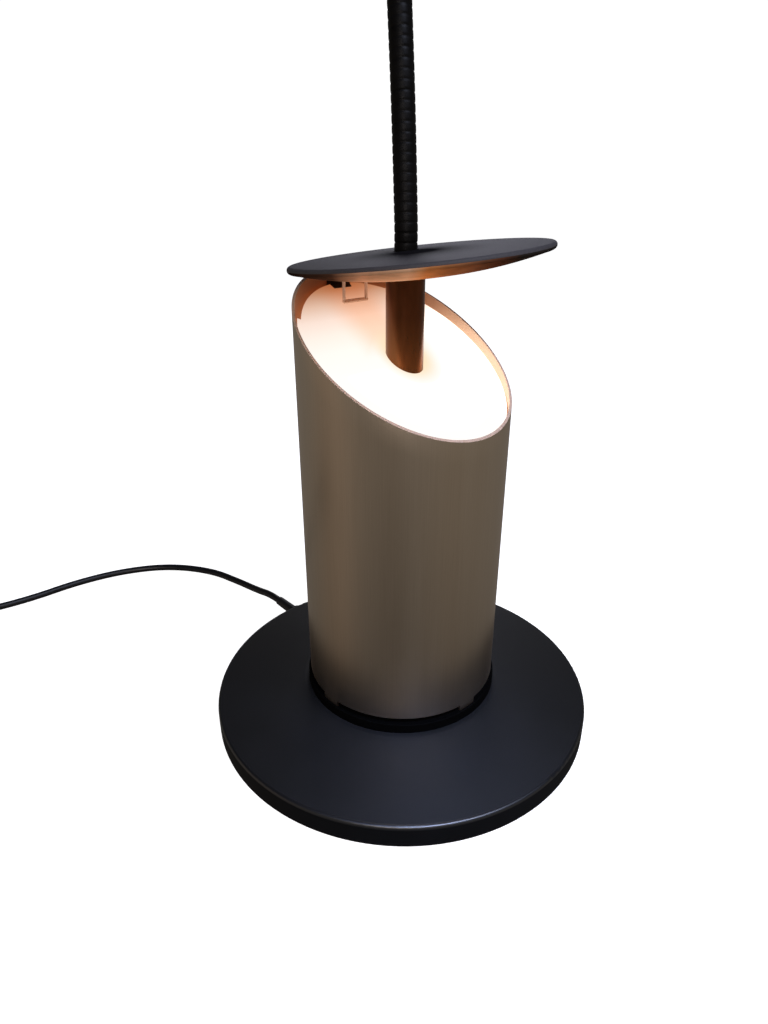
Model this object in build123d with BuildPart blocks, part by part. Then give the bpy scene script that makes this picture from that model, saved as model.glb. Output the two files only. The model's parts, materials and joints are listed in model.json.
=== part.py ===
"""Table lamp: a slant-cut metal tube with an opal diffuser over a bulb, on a heavy round base.

A black stem on the axis carries a lens-shaped reflector and a gooseneck with a small reading head.
Millimetres, +Z up. The origin is on the floor, under the middle of the base. -Y is the front, where
the slanted top of the tube is low, and +Y is the back, where the cord leaves the base.
"""

import math
import os

from build123d import *

os.makedirs("parts", exist_ok=True)

# clearances
slide_fit = 0.05
turn_play = 0.2
slot_play = 0.15
hole_play = 0.25

# base
base_r = 122.0
base_gap = 1.2
rim_round = 1.8
rim_top = 15.2
dome_rise = 8.3
dome_bulge = 0.8
base_wall = 3.6
top_wall = 3.4
pad_t = 1.8
pad_inset = 5.0
cover_t = 1.6
cover_play = 0.4
boss_count = 4
boss_inset = 19.9
boss_r = 5.5
screw_r = 2.0
screw_head_r = 3.6
screw_head_h = 1.2
screw_len = 9.0
thread_end = 0.5
ballast_t = 6.0
ballast_play = 4.5
ballast_in_r = 46.0
ballast_slot = 28.0

# ledge ring under the tube
seat_lip = 1.5
seat_h = 6.0
seat_ring_w = 8.5
seat_chamfer = 0.3
spigot_h = 5.0
spigot_play = 0.4
seat_screw_count = 3
seat_screw_inset = 3.5
seat_screw_head = 1.4
seat_screw_r = 1.6

# tube
tube_r = 60.0
tube_wall = 1.5
tube_air_gap = 3.5
tab_w = 12.6
tab_count = 4
tab_depth = 4.0
cut_axis_z = 240.6
cut_slope = 0.62

# diffuser
diffuser_drop = 6.0
diffuser_t = 3.0
diffuser_gap = 1.1
vent_gap = 3.1
step_angle = 52.0
notch_w = 17.0
notch_in_w = 13.6
notch_depth = 3.8
catch_play = 0.6
lug_count = 3
lug_w = 10.0
lug_reach = 7.5
lug_t = 2.0
handle_inset = 10.2
handle_half_w = 8.16
handle_wire_r = 0.9
handle_h = 15.6
handle_corner_r = 3.0
handle_foot_t = 1.0
handle_foot_edge = 0.1
handle_foot_round = 0.8

# stem
stem_r = 10.4
stem_drop = 1.3
journal_step = 2.4
journal_wall = 2.0
journal_h = 6.0
stem_flange_r = 15.0
stem_flange_h = 4.0
stem_tail = 13.0
washer_t = 1.5
washer_r = 16.0
nut_h = 7.0
nut_flat = 27.0

# reflector: a lens shape, tilted and off-centre
reflector_r = 68.6
reflector_edge_r = 1.8
reflector_crown = 1.6
reflector_sag = 7.6
reflector_flat_r = 12.0
reflector_rise = 10.8
reflector_shift = 7.4
reflector_tilt = 5.7
reflector_azimuth = -56.0
hub_lip_t = 1.2
skin_t = 1.2
neck_gap = 0.5

# gooseneck
neck_r = 6.05
neck_wall = 1.5
rib_pitch = 4.5
rib_depth = 0.4
neck_azimuth = 239.8
foot_flange_step = 0.5
foot_flange_h = 2.0
foot_shank_h = 26.0
lower_ribs = 17
middle_ribs = 13
upper_ribs = 49
# the pieces of the neck's centre line: their lengths and the angles that they turn through;
# what is left of the hose after the last of them is straight
neck_foot_l = 12.0
neck_set_l = 6.0
neck_set_angle = -8.0
neck_rise_l = 95.0
neck_rise_angle = -6.0
neck_sway_l = 90.0
neck_sway_angle = 24.0
neck_arch_l = 146.5
neck_arch_angle = 126.0

# reading head
ferrule_wall = 2.4
ferrule_step = 2.0
ferrule_h = 14.0
head_bulb_gap = 1.3
cap_h = 18.0
cap_round = 7.0
cap_wall = 2.5
cap_spigot_h = 5.0
head_wall = 1.2
head_len = 76.0
head_recess = 16.0
head_bulb_face_r = 25.0
head_bulb_face_h = 5.0
head_bulb_len = 44.0
head_bulb_neck_r = 11.0
head_bulb_neck_h = 10.0
head_bulb_flare = 1.0
button_r = 4.0
button_h = 4.0
button_travel = 1.5
button_gap = 1.0

# bulb in the tube
bracket_gap = 2.0
bracket_foot_gap = 1.0
bracket_t = 2.0
bracket_h = 30.0
bracket_w = 20.0
socket_r = 14.0
socket_h = 36.0
bulb_cap_r = 7.0
bulb_cap_h = 14.0
bulb_r = 17.5
bulb_h = 84.0

# wiring in the base
gland_z = 7.6
gland_r = 3.9
gland_tip_r = 3.5
gland_len = 22.0
gland_flange_r = 5.6
gland_flange_t = 2.5
gland_tail = 4.0
clamp_gap = 5.9
clamp_roof = 2.0
clamp_w = 20.0
clamp_d = 8.0
terminal_gap = 1.0
terminal_w = 24.0
terminal_d = 14.0
terminal_h = 8.0
inner_lead_r = 2.4

# cord
cord_r = 2.75
coil_pitch = 6.1
coil_turns = 6
coil_out_r = 40.0
coil_lift = 1.0
# straight runs of the cord between its gentle bends
short_run = 18.0
middle_run = 22.0
long_run = 26.0
coil_heading = 250.0
tie_t = 0.8
tie_w = 9.0
tie_play = 0.1
switch_len = 64.0
switch_w = 27.0
switch_lower_h = 4.0
switch_upper_h = 11.0
switch_heading = 161.0
switch_round = 4.0
rocker_l = 20.0
rocker_w = 11.0
rocker_pin_r = 1.5
rocker_swing = 9.0
rocker_rise = 2.4
plug_w = 26.0
plug_l = 34.0
plug_h = 14.0
plug_pin_r = 2.0
plug_pin_len = 19.0
plug_pin_gap = 18.6
relief_len = 30.0
relief_r = 5.0

# sizes that follow from the above
dome_top = rim_top + dome_rise
rim_flat_r = base_r - rim_round
wall_in_r = base_r - base_wall
cover_r = wall_in_r - cover_play
pad_out_r = base_r - pad_inset
cover_low = pad_t
cover_top = cover_low + cover_t
cavity_top = dome_top - top_wall
boss_circle_r = wall_in_r - boss_inset
ballast_out_r = boss_circle_r - boss_r - ballast_play

tube_in_r = tube_r - tube_wall
seat_r = tube_r + seat_lip
seat_bore_r = tube_in_r - seat_ring_w
seat_screw_circle_r = seat_bore_r + seat_screw_inset
spigot_r = tube_in_r - spigot_play
dome_flat_r = seat_r + 2 * seat_lip
seat_top = dome_top + seat_h
slot_floor = seat_top - tab_depth
tube_bottom = seat_top + tube_air_gap
tube_top = cut_axis_z + cut_slope * tube_r

diffuser_top_axis = cut_axis_z - diffuser_drop
diffuser_low_axis = diffuser_top_axis - diffuser_t
diffuser_r = tube_in_r - diffuser_gap
diffuser_back_r = tube_in_r - vent_gap
lug_in_r = tube_in_r - lug_reach
notch_y = diffuser_back_r - notch_depth
handle_y = notch_y - handle_inset
handle_foot_low = diffuser_top_axis + cut_slope * handle_y
handle_top = handle_foot_low + handle_h
handle_foot_l = 2 * (handle_half_w + handle_wire_r + handle_foot_edge)
handle_foot_w = 2 * (handle_wire_r + handle_foot_edge)
slant_angle = math.degrees(math.atan(cut_slope))

stem_top = tube_top - stem_drop
stem_bottom = dome_top - stem_tail
journal_r = stem_r - journal_step
journal_top = stem_top + journal_h
stem_bore_r = journal_r - journal_wall
neck_hole_r = neck_r + neck_gap
neck_bore_r = neck_r - rib_depth - neck_wall
foot_flange_r = journal_r - foot_flange_step
foot_flange_low = journal_top + turn_play
foot_flange_top = foot_flange_low + foot_flange_h
hub_r = stem_r
hub_bottom = stem_top + turn_play
hub_bore_top = foot_flange_top + turn_play
hub_top = hub_bore_top + hub_lip_t
reflector_z = stem_top + reflector_rise
lens_r = reflector_r - reflector_edge_r

neck_route = [
    (neck_foot_l, 0.0),
    (neck_set_l, neck_set_angle),
    (neck_rise_l, neck_rise_angle),
    (neck_sway_l, neck_sway_angle),
    (neck_arch_l, neck_arch_angle),
]
ferrule_r = neck_r + ferrule_wall
cap_hole_r = ferrule_r - ferrule_step
head_in_r = head_bulb_face_r + head_bulb_gap
cap_r = head_in_r + head_wall
cap_low = ferrule_h - cap_wall
cap_front = cap_low + cap_h
bulb_face_z = cap_front + head_len - head_recess
head_socket_r = head_bulb_neck_r
button_offset = head_socket_r + button_gap + button_r

bracket_top = dome_top + bracket_h
bulb_offset = seat_bore_r - bracket_gap - socket_r
bulb_z = bracket_top + socket_h
gland_out = base_r + gland_flange_t
gland_in_y = wall_in_r - gland_tail
clamp_y = gland_in_y - clamp_gap - clamp_d / 2
terminal_y = washer_r + terminal_gap + terminal_d / 2


def dome_z(r):
    """Height of the base's domed top at radius r."""
    t = (rim_flat_r - r) / (rim_flat_r - dome_flat_r)
    return rim_top + (dome_top - rim_top) * t + 4 * dome_bulge * t * (1 - t)


def slant_plane(axis_z):
    """A plane parallel to the tube's slanted cut that crosses the lamp's axis at axis_z."""
    return Plane(origin=(0, 0, axis_z), x_dir=(1, 0, 0), z_dir=(0, -cut_slope, 1))


def notch_corners(play):
    """Corners of the trapezoid notch at the diffuser's back, drawn in by the play on its sides."""
    inner = notch_in_w / 2 - play
    outer = notch_w / 2 - play
    return [(-outer, tube_r), (-inner, notch_y + play), (inner, notch_y + play), (outer, tube_r)]


# base
dome_mid_r = (rim_flat_r + dome_flat_r) / 2
with BuildPart() as base_shell:
    with BuildSketch(Plane.XZ):
        with BuildLine():
            Line((base_r, base_gap), (base_r, rim_top - rim_round))
            CenterArc((rim_flat_r, rim_top - rim_round), rim_round, 0, 90)
            ThreePointArc(
                (rim_flat_r, rim_top), (dome_mid_r, dome_z(dome_mid_r)), (dome_flat_r, dome_top)
            )
            Line((dome_flat_r, dome_top), (stem_r, dome_top))
            Line((stem_r, dome_top), (stem_r, cavity_top))
            Line((stem_r, cavity_top), (dome_flat_r, cavity_top))
            Polyline(
                (dome_flat_r, cavity_top),
                (wall_in_r, dome_z(wall_in_r) - top_wall),
                (wall_in_r, base_gap),
                (base_r, base_gap),
            )
        make_face()
    revolve(axis=Axis.Z)
    # bosses for the cover's screws, up into the top wall
    with BuildSketch(Plane.XY.offset(cover_top)):
        with PolarLocations(boss_circle_r, boss_count, start_angle=45):
            Circle(boss_r)
    extrude(amount=dome_z(boss_circle_r) - top_wall / 2 - cover_top)
    with BuildSketch(Plane.XY.offset(cover_top)):
        with PolarLocations(boss_circle_r, boss_count, start_angle=45):
            Circle(screw_r)
    extrude(amount=screw_len - cover_t, mode=Mode.SUBTRACT)
    # clearance hole of the stem and screw holes of the ledge ring
    with BuildSketch(Plane.XY.offset(cavity_top)):
        Circle(stem_r + hole_play)
        with PolarLocations(seat_screw_circle_r, seat_screw_count, start_angle=30):
            Circle(seat_screw_r + hole_play)
    extrude(amount=top_wall, mode=Mode.SUBTRACT)
    # hole of the cord gland at the back
    with BuildSketch(Plane.XZ.offset(-base_r)):
        with Locations((0, gland_z)):
            Circle(gland_r)
    extrude(amount=base_wall * 2, mode=Mode.SUBTRACT)

with BuildPart() as base_cover:
    with BuildSketch(Plane.XY.offset(cover_low)):
        Circle(cover_r)
        with PolarLocations(boss_circle_r, boss_count, start_angle=45):
            Circle(screw_r + hole_play, mode=Mode.SUBTRACT)
    extrude(amount=cover_t)
    with BuildSketch(Plane.XY.offset(cover_low)):
        with PolarLocations(boss_circle_r, boss_count, start_angle=45):
            Circle(screw_head_r + hole_play)
    extrude(amount=screw_head_h, mode=Mode.SUBTRACT)

with BuildPart() as base_screws:
    with BuildSketch(Plane.XY.offset(cover_low)):
        with PolarLocations(boss_circle_r, boss_count, start_angle=45):
            Circle(screw_r)
    extrude(amount=screw_len - thread_end)
    with BuildSketch(Plane.XY.offset(cover_low)):
        with PolarLocations(boss_circle_r, boss_count, start_angle=45):
            Circle(screw_head_r)
    extrude(amount=screw_head_h)

with BuildPart() as base_pad:
    with BuildSketch():
        Circle(pad_out_r)
    extrude(amount=pad_t)

with BuildPart() as ballast_plate:
    with BuildSketch(Plane.XY.offset(cover_top)):
        Circle(ballast_out_r)
        Circle(ballast_in_r, mode=Mode.SUBTRACT)
        # the supply cord runs over the cover at the back
        with Locations((0, ballast_out_r)):
            Rectangle(
                ballast_slot,
                2 * (ballast_out_r - ballast_in_r) + ballast_slot / 2,
                mode=Mode.SUBTRACT,
            )
    extrude(amount=ballast_t)

# ledge ring and tube
with BuildPart() as tube_seat:
    with BuildSketch(Plane.XZ):
        Polygon(
            (seat_bore_r, dome_top),
            (seat_r, dome_top),
            (seat_r, seat_top - seat_chamfer),
            (seat_r - seat_chamfer, seat_top),
            (spigot_r, seat_top),
            (spigot_r, seat_top + spigot_h),
            (seat_bore_r, seat_top + spigot_h),
            align=None,
        )
    revolve(axis=Axis.Z)
    with BuildSketch(Plane.XY.offset(slot_floor)):
        with PolarLocations(0, 2):
            Rectangle(2 * seat_r, tab_w + 2 * slot_play)
        with PolarLocations(0, 2, start_angle=90):
            Rectangle(2 * seat_r, tab_w + 2 * slot_play)
        Circle(tube_r + slot_play, mode=Mode.INTERSECT)
        Circle(tube_in_r - slot_play, mode=Mode.SUBTRACT)
    extrude(amount=tab_depth, mode=Mode.SUBTRACT)
    with BuildSketch(Plane.XY.offset(dome_top)):
        with PolarLocations(seat_screw_circle_r, seat_screw_count, start_angle=30):
            Circle(seat_screw_r)
    extrude(amount=seat_h - thread_end, mode=Mode.SUBTRACT)

with BuildPart() as seat_screws:
    with BuildSketch(Plane.XY.offset(cavity_top)):
        with PolarLocations(seat_screw_circle_r, seat_screw_count, start_angle=30):
            Circle(seat_screw_r)
    extrude(amount=top_wall + seat_h - 2 * thread_end)
    with BuildSketch(Plane.XY.offset(cavity_top - screw_head_h)):
        with PolarLocations(seat_screw_circle_r, seat_screw_count, start_angle=30):
            Circle(seat_screw_r + seat_screw_head)
    extrude(amount=screw_head_h)

with BuildPart() as body_tube:
    with BuildSketch(Plane.XY.offset(tube_bottom)):
        Circle(tube_r)
        Circle(tube_in_r, mode=Mode.SUBTRACT)
    extrude(amount=tube_top + 10 - tube_bottom)
    split(bisect_by=slant_plane(cut_axis_z), keep=Keep.BOTTOM)
    with BuildSketch(Plane.XY.offset(slot_floor)):
        with PolarLocations(0, tab_count):
            Rectangle(2 * seat_r, tab_w)
        Circle(tube_r, mode=Mode.INTERSECT)
        Circle(tube_in_r, mode=Mode.SUBTRACT)
    extrude(amount=tube_bottom - slot_floor)

# diffuser
lug_top_axis = diffuser_low_axis
lug_low_axis = lug_top_axis - lug_t
with BuildPart() as diffuser_lugs:
    with BuildSketch(Plane.XY.offset(lug_low_axis - cut_slope * tube_r - 5)):
        with PolarLocations(tube_in_r, lug_count, start_angle=-90):
            Rectangle(2 * (tube_in_r - lug_in_r), lug_w)
        Circle(tube_in_r, mode=Mode.INTERSECT)
    extrude(amount=2 * cut_slope * tube_r + 10 + lug_t)
    split(bisect_by=slant_plane(lug_top_axis), keep=Keep.BOTTOM)
    split(bisect_by=slant_plane(lug_low_axis), keep=Keep.TOP)

with BuildPart() as diffuser:
    with BuildSketch(Plane.XY.offset(diffuser_low_axis - cut_slope * tube_r - 5)):
        Circle(diffuser_r)
        # the back part is drawn in, for the air and light gap along the wall
        with BuildLine():
            back_out = 2 * tube_r
            back_start = 90 - step_angle
            back_end = 90 + step_angle
            a0 = math.radians(back_start)
            a1 = math.radians(back_end)
            Line(
                (diffuser_back_r * math.cos(a0), diffuser_back_r * math.sin(a0)),
                (back_out * math.cos(a0), back_out * math.sin(a0)),
            )
            CenterArc((0, 0), back_out, back_start, 2 * step_angle)
            Line(
                (back_out * math.cos(a1), back_out * math.sin(a1)),
                (diffuser_back_r * math.cos(a1), diffuser_back_r * math.sin(a1)),
            )
            CenterArc((0, 0), diffuser_back_r, back_end, -2 * step_angle)
        make_face(mode=Mode.SUBTRACT)
        Polygon(*notch_corners(0.0), align=None, mode=Mode.SUBTRACT)
        Circle(stem_r + hole_play, mode=Mode.SUBTRACT)
    extrude(amount=2 * cut_slope * tube_r + 10 + diffuser_t)
    split(bisect_by=slant_plane(diffuser_top_axis), keep=Keep.BOTTOM)
    split(bisect_by=slant_plane(diffuser_low_axis), keep=Keep.TOP)

# black catch on the tube's wall, in the diffuser's notch
with BuildPart() as diffuser_catch:
    with BuildSketch(Plane.XY.offset(diffuser_low_axis)):
        Polygon(*notch_corners(catch_play), align=None)
        Circle(tube_in_r, mode=Mode.INTERSECT)
    extrude(amount=cut_slope * tube_r + 2 * diffuser_t)
    split(bisect_by=slant_plane(diffuser_top_axis), keep=Keep.BOTTOM)
    split(bisect_by=slant_plane(diffuser_low_axis), keep=Keep.TOP)

handle_foot_plane = slant_plane(diffuser_top_axis)
with BuildPart() as diffuser_handle:
    with BuildSketch(handle_foot_plane):
        with Locations((0, handle_y / math.cos(math.radians(slant_angle)))):
            RectangleRounded(handle_foot_l, handle_foot_w, handle_foot_round)
    extrude(amount=handle_foot_t)
    with BuildLine() as handle_line:
        FilletPolyline(
            (-handle_half_w, handle_y, handle_foot_low + handle_foot_t / 2),
            (-handle_half_w, handle_y, handle_top - handle_wire_r),
            (handle_half_w, handle_y, handle_top - handle_wire_r),
            (handle_half_w, handle_y, handle_foot_low + handle_foot_t / 2),
            radius=handle_corner_r,
        )
    with BuildSketch(Plane(origin=handle_line.line @ 0, z_dir=handle_line.line % 0)):
        Circle(handle_wire_r)
    sweep()

# stem
with BuildPart() as stem:
    with BuildSketch(Plane.XZ):
        Polygon(
            (stem_bore_r, stem_bottom),
            (stem_r, stem_bottom),
            (stem_r, dome_top),
            (stem_flange_r, dome_top),
            (stem_flange_r, dome_top + stem_flange_h),
            (stem_r, dome_top + stem_flange_h),
            (stem_r, stem_top),
            (journal_r, stem_top),
            (journal_r, journal_top),
            (stem_bore_r, journal_top),
            align=None,
        )
    revolve(axis=Axis.Z)

with BuildPart() as stem_washer:
    with BuildSketch(Plane.XY.offset(cavity_top - washer_t)):
        Circle(washer_r)
        Circle(stem_r + hole_play, mode=Mode.SUBTRACT)
    extrude(amount=washer_t)

with BuildPart() as stem_nut:
    with BuildSketch(Plane.XY.offset(cavity_top - washer_t - nut_h)):
        RegularPolygon(nut_flat / 2, 6, major_radius=False)
        Circle(stem_r, mode=Mode.SUBTRACT)
    extrude(amount=nut_h)

# reflector
tilt = math.radians(reflector_tilt)
rise = math.radians(reflector_azimuth)
reflector_plane = Plane(
    origin=(reflector_shift * math.cos(rise), reflector_shift * math.sin(rise), reflector_z),
    x_dir=(math.cos(rise) * math.cos(tilt), math.sin(rise) * math.cos(tilt), math.sin(tilt)),
    z_dir=(-math.cos(rise) * math.sin(tilt), -math.sin(rise) * math.sin(tilt), math.cos(tilt)),
)
# the lens's section in the plane that holds the lamp's axis and the reflector's own axis
section_plane = Plane(
    origin=reflector_plane.origin, x_dir=reflector_plane.x_dir, z_dir=-reflector_plane.y_dir
)
reflector_axis = Axis(reflector_plane.origin, reflector_plane.z_dir)


# two thin dishes that meet at the edge: a top one that rises and a bottom one that bulges down
dishes = []
for height, flat_r, cut_r, cut_by in (
    (reflector_crown, 0.0, neck_hole_r, 3 * reflector_edge_r + 3 * reflector_crown),
    (-reflector_sag, reflector_flat_r, hub_r, -4 * reflector_sag),
):
    side = math.copysign(1, height)
    with BuildPart() as dish:
        with BuildSketch(section_plane):
            with BuildLine():
                for shrink in (0.0, skin_t):
                    edge = reflector_edge_r - shrink
                    if flat_r > 0:
                        Line((0, side * edge + height), (flat_r, side * edge + height))
                    ThreePointArc(
                        (flat_r, side * edge + height),
                        ((flat_r + lens_r) / 2, side * edge + 0.75 * height),
                        (lens_r, side * edge),
                    )
                    CenterArc((lens_r, 0), edge, 0, side * 90)
                Line(
                    (0, side * reflector_edge_r + height),
                    (0, side * (reflector_edge_r - skin_t) + height),
                )
                Line((reflector_r, 0), (reflector_r - skin_t, 0))
            make_face()
        revolve(axis=reflector_axis)
        with BuildSketch(Plane.XY.offset(hub_top if height > 0 else hub_bore_top)):
            Circle(cut_r)
        extrude(amount=cut_by, mode=Mode.SUBTRACT)
    dishes.append(dish)
reflector_cover, reflector_pan = dishes

with BuildPart() as reflector_hub:
    with BuildSketch(Plane.XY.offset(hub_bottom)):
        Circle(hub_r)
        Circle(journal_r + slide_fit, mode=Mode.SUBTRACT)
    extrude(amount=hub_bore_top - hub_bottom)
    with BuildSketch(Plane.XY.offset(hub_bore_top)):
        Circle(hub_r)
        Circle(neck_hole_r, mode=Mode.SUBTRACT)
    extrude(amount=hub_lip_t)

# gooseneck
neck_dir = Vector(math.cos(math.radians(neck_azimuth)), math.sin(math.radians(neck_azimuth)), 0)
neck_side = Vector(-neck_dir.Y, neck_dir.X, 0)


def neck_plane(s):
    """Plane square to the neck's centre line, s along it from its foot, with a steady X axis."""
    out = 0.0
    up = foot_flange_top
    lean = 0.0
    left = s
    for length, turn in neck_route:
        step = min(length, left)
        bend = math.radians(turn) * step / length
        if abs(bend) < 1e-9:
            out += step * math.sin(lean)
            up += step * math.cos(lean)
        else:
            radius = step / bend
            out += radius * (math.cos(lean) - math.cos(lean + bend))
            up += radius * (math.sin(lean + bend) - math.sin(lean))
            lean += bend
        left -= step
        if left <= 1e-9:
            break
    out += left * math.sin(lean)
    up += left * math.cos(lean)
    where = neck_dir * out + Vector(0, 0, up)
    along = neck_dir * math.sin(lean) + Vector(0, 0, math.cos(lean))
    return Plane(origin=where, x_dir=neck_side, z_dir=along)


def hose_rings(first_rib, ribs):
    """Places and radii of the circles of a stretch of ribbed hose, four to a rib."""
    rings = []
    for rib in range(first_rib, first_rib + ribs):
        start = rib * rib_pitch
        rings.append((start, neck_r - rib_depth))
        rings.append((start + 0.12 * rib_pitch, neck_r))
        rings.append((start + 0.78 * rib_pitch, neck_r))
        rings.append((start + 0.90 * rib_pitch, neck_r - rib_depth))
    rings.append(((first_rib + ribs) * rib_pitch, neck_r - rib_depth))
    return rings


def bore_places(first_rib, ribs):
    """Places of the bore's circles: one every few ribs, close enough to follow the bend."""
    every = max(1, ribs // 16)
    marks = list(range(first_rib, first_rib + ribs, every)) + [first_rib + ribs]
    return [mark * rib_pitch for mark in marks]


hoses = {}
first = 0
for hose_name, ribs in (
    ("gooseneck_lower", lower_ribs),
    ("gooseneck_middle", middle_ribs),
    ("gooseneck_upper", upper_ribs),
):
    with BuildPart() as bore:
        for place in bore_places(first, ribs):
            with BuildSketch(neck_plane(place)):
                Circle(neck_bore_r)
        loft(ruled=True)
    with BuildPart() as hose:
        for place, radius in hose_rings(first, ribs):
            with BuildSketch(neck_plane(place)):
                Circle(radius)
        loft(ruled=True)
        add(bore.part, mode=Mode.SUBTRACT)
    hoses[hose_name] = hose
    first += ribs
neck_length = first * rib_pitch
head_plane = neck_plane(neck_length)

with BuildPart() as neck_foot:
    with BuildSketch(Plane.XY.offset(foot_flange_low)):
        Circle(foot_flange_r)
        Circle(neck_bore_r, mode=Mode.SUBTRACT)
    extrude(amount=foot_flange_h)
    with BuildSketch(Plane.XY.offset(foot_flange_low - foot_shank_h)):
        Circle(stem_bore_r - slide_fit)
        Circle(neck_bore_r, mode=Mode.SUBTRACT)
    extrude(amount=foot_shank_h)

# reading head
with BuildPart() as neck_ferrule:
    with BuildSketch(head_plane):
        Circle(ferrule_r)
        Circle(neck_bore_r, mode=Mode.SUBTRACT)
    extrude(amount=ferrule_h - cap_wall)
    with BuildSketch(head_plane.offset(ferrule_h - cap_wall)):
        Circle(cap_hole_r)
        Circle(neck_bore_r, mode=Mode.SUBTRACT)
    extrude(amount=cap_wall)

head_section = Plane(
    origin=head_plane.origin, x_dir=head_plane.x_dir, z_dir=-head_plane.y_dir
)
head_axis = Axis(head_plane.origin, head_plane.z_dir)
with BuildPart() as head_cap:
    with BuildSketch(head_section):
        with BuildLine():
            inner_round = cap_round - cap_wall
            cap_end = cap_front + cap_spigot_h
            Line((cap_hole_r, cap_low), (cap_r - cap_round, cap_low))
            CenterArc((cap_r - cap_round, cap_low + cap_round), cap_round, -90, 90)
            Polyline(
                (cap_r, cap_low + cap_round),
                (cap_r, cap_front),
                (head_in_r, cap_front),
                (head_in_r, cap_end),
                (cap_r - cap_wall, cap_end),
                (cap_r - cap_wall, cap_low + cap_round),
            )
            CenterArc((cap_r - cap_round, cap_low + cap_round), inner_round, 0, -90)
            Polyline(
                (cap_r - cap_round, cap_low + cap_wall),
                (cap_hole_r, cap_low + cap_wall),
                (cap_hole_r, cap_low),
            )
        make_face()
    revolve(axis=head_axis)
    with BuildSketch(head_plane.offset(cap_low)):
        with Locations((0, -button_offset)):
            Circle(button_r + slide_fit)
    extrude(amount=cap_wall, mode=Mode.SUBTRACT)

with BuildPart() as head_shell:
    with BuildSketch(head_plane.offset(cap_front)):
        Circle(cap_r)
        Circle(head_in_r, mode=Mode.SUBTRACT)
    extrude(amount=head_len)

socket_top = bulb_face_z - head_bulb_len
with BuildPart() as head_socket:
    with BuildSketch(head_plane.offset(cap_low + cap_wall)):
        Circle(head_socket_r)
    extrude(amount=socket_top - cap_low - cap_wall)

with BuildPart() as head_bulb:
    with BuildSketch(head_plane.offset(socket_top)):
        Circle(head_bulb_neck_r)
    with BuildSketch(head_plane.offset(socket_top + head_bulb_neck_h)):
        Circle(head_bulb_neck_r + head_bulb_flare)
    with BuildSketch(head_plane.offset(bulb_face_z - head_bulb_face_h)):
        Circle(head_bulb_face_r)
    with BuildSketch(head_plane.offset(bulb_face_z)):
        Circle(head_bulb_face_r)
    loft(ruled=True)

with BuildPart() as head_button:
    with BuildSketch(head_plane.offset(cap_low - button_h)):
        with Locations((0, -button_offset)):
            Circle(button_r)
    extrude(amount=button_h + cap_wall)

# bulb in the tube
with BuildPart() as lampholder_bracket:
    with BuildSketch(Plane.YZ.offset(-bracket_w / 2)):
        with BuildLine():
            inner = -(stem_flange_r + bracket_foot_gap)
            outer = -(bulb_offset + socket_r)
            Polyline(
                (inner, bracket_top),
                (inner, bracket_top - bracket_t),
                (outer + bracket_t, bracket_top - bracket_t),
                (outer + bracket_t, dome_top + bracket_t),
                (inner, dome_top + bracket_t),
                (inner, dome_top),
                (outer, dome_top),
                (outer, bracket_top),
                close=True,
            )
        make_face()
    extrude(amount=bracket_w)

with BuildPart() as lampholder:
    with BuildSketch(Plane.XY.offset(bracket_top)):
        with Locations((0, -bulb_offset)):
            Circle(socket_r)
    extrude(amount=socket_h)
    with BuildSketch(Plane.XY.offset(bracket_top + socket_h)):
        with Locations((0, -bulb_offset)):
            Circle(bulb_cap_r + 0.2)
    extrude(amount=-bulb_cap_h, mode=Mode.SUBTRACT)

bulb_axis = Axis((0, -bulb_offset, 0), (0, 0, 1))
with BuildPart() as bulb:
    with BuildSketch(Plane.XZ.offset(bulb_offset)):
        with BuildLine():
            Line((0, bulb_z - bulb_cap_h), (bulb_cap_r, bulb_z - bulb_cap_h))
            Line((bulb_cap_r, bulb_z - bulb_cap_h), (bulb_cap_r, bulb_z + 1))
            Spline(
                (bulb_cap_r, bulb_z + 1),
                (bulb_r, bulb_z + bulb_h * 0.42),
                (bulb_r * 0.62, bulb_z + bulb_h * 0.85),
                (0, bulb_z + bulb_h),
                tangents=[(0.35, 1), (-1, 0)],
            )
            Line((0, bulb_z + bulb_h), (0, bulb_z - bulb_cap_h))
        make_face()
    revolve(axis=bulb_axis)

# wiring in the base
with BuildPart() as cord_gland:
    with BuildSketch(Plane.XZ.offset(-gland_out)):
        with Locations((0, gland_z)):
            Circle(gland_flange_r)
    extrude(amount=gland_flange_t)
    with BuildSketch(Plane.XZ.offset(-base_r)):
        with Locations((0, gland_z)):
            Circle(gland_r)
    extrude(amount=base_wall + gland_tail)
    with BuildSketch(Plane.XZ.offset(-gland_out)):
        with Locations((0, gland_z)):
            Circle(gland_r)
    with BuildSketch(Plane.XZ.offset(-gland_out - gland_len)):
        with Locations((0, gland_z)):
            Circle(gland_tip_r)
    loft()

with BuildPart() as cord_clamp:
    with BuildSketch(Plane.XY.offset(cover_top)):
        with Locations((0, clamp_y)):
            Rectangle(clamp_w, clamp_d)
    extrude(amount=gland_z + inner_lead_r + clamp_roof - cover_top)
    with BuildSketch(Plane.XZ.offset(-(clamp_y + clamp_d))):
        with Locations((0, gland_z)):
            Circle(inner_lead_r + hole_play)
    extrude(amount=2 * clamp_d, mode=Mode.SUBTRACT)

with BuildPart() as terminal_block:
    with BuildSketch(Plane.XY.offset(cover_top)):
        with Locations((0, terminal_y)):
            Rectangle(terminal_w, terminal_d)
    extrude(amount=terminal_h)

with BuildPart() as supply_lead:
    with BuildSketch(Plane.XZ.offset(-gland_in_y)):
        with Locations((0, gland_z)):
            Circle(inner_lead_r)
    extrude(amount=gland_in_y - terminal_y - terminal_d / 2)

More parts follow.
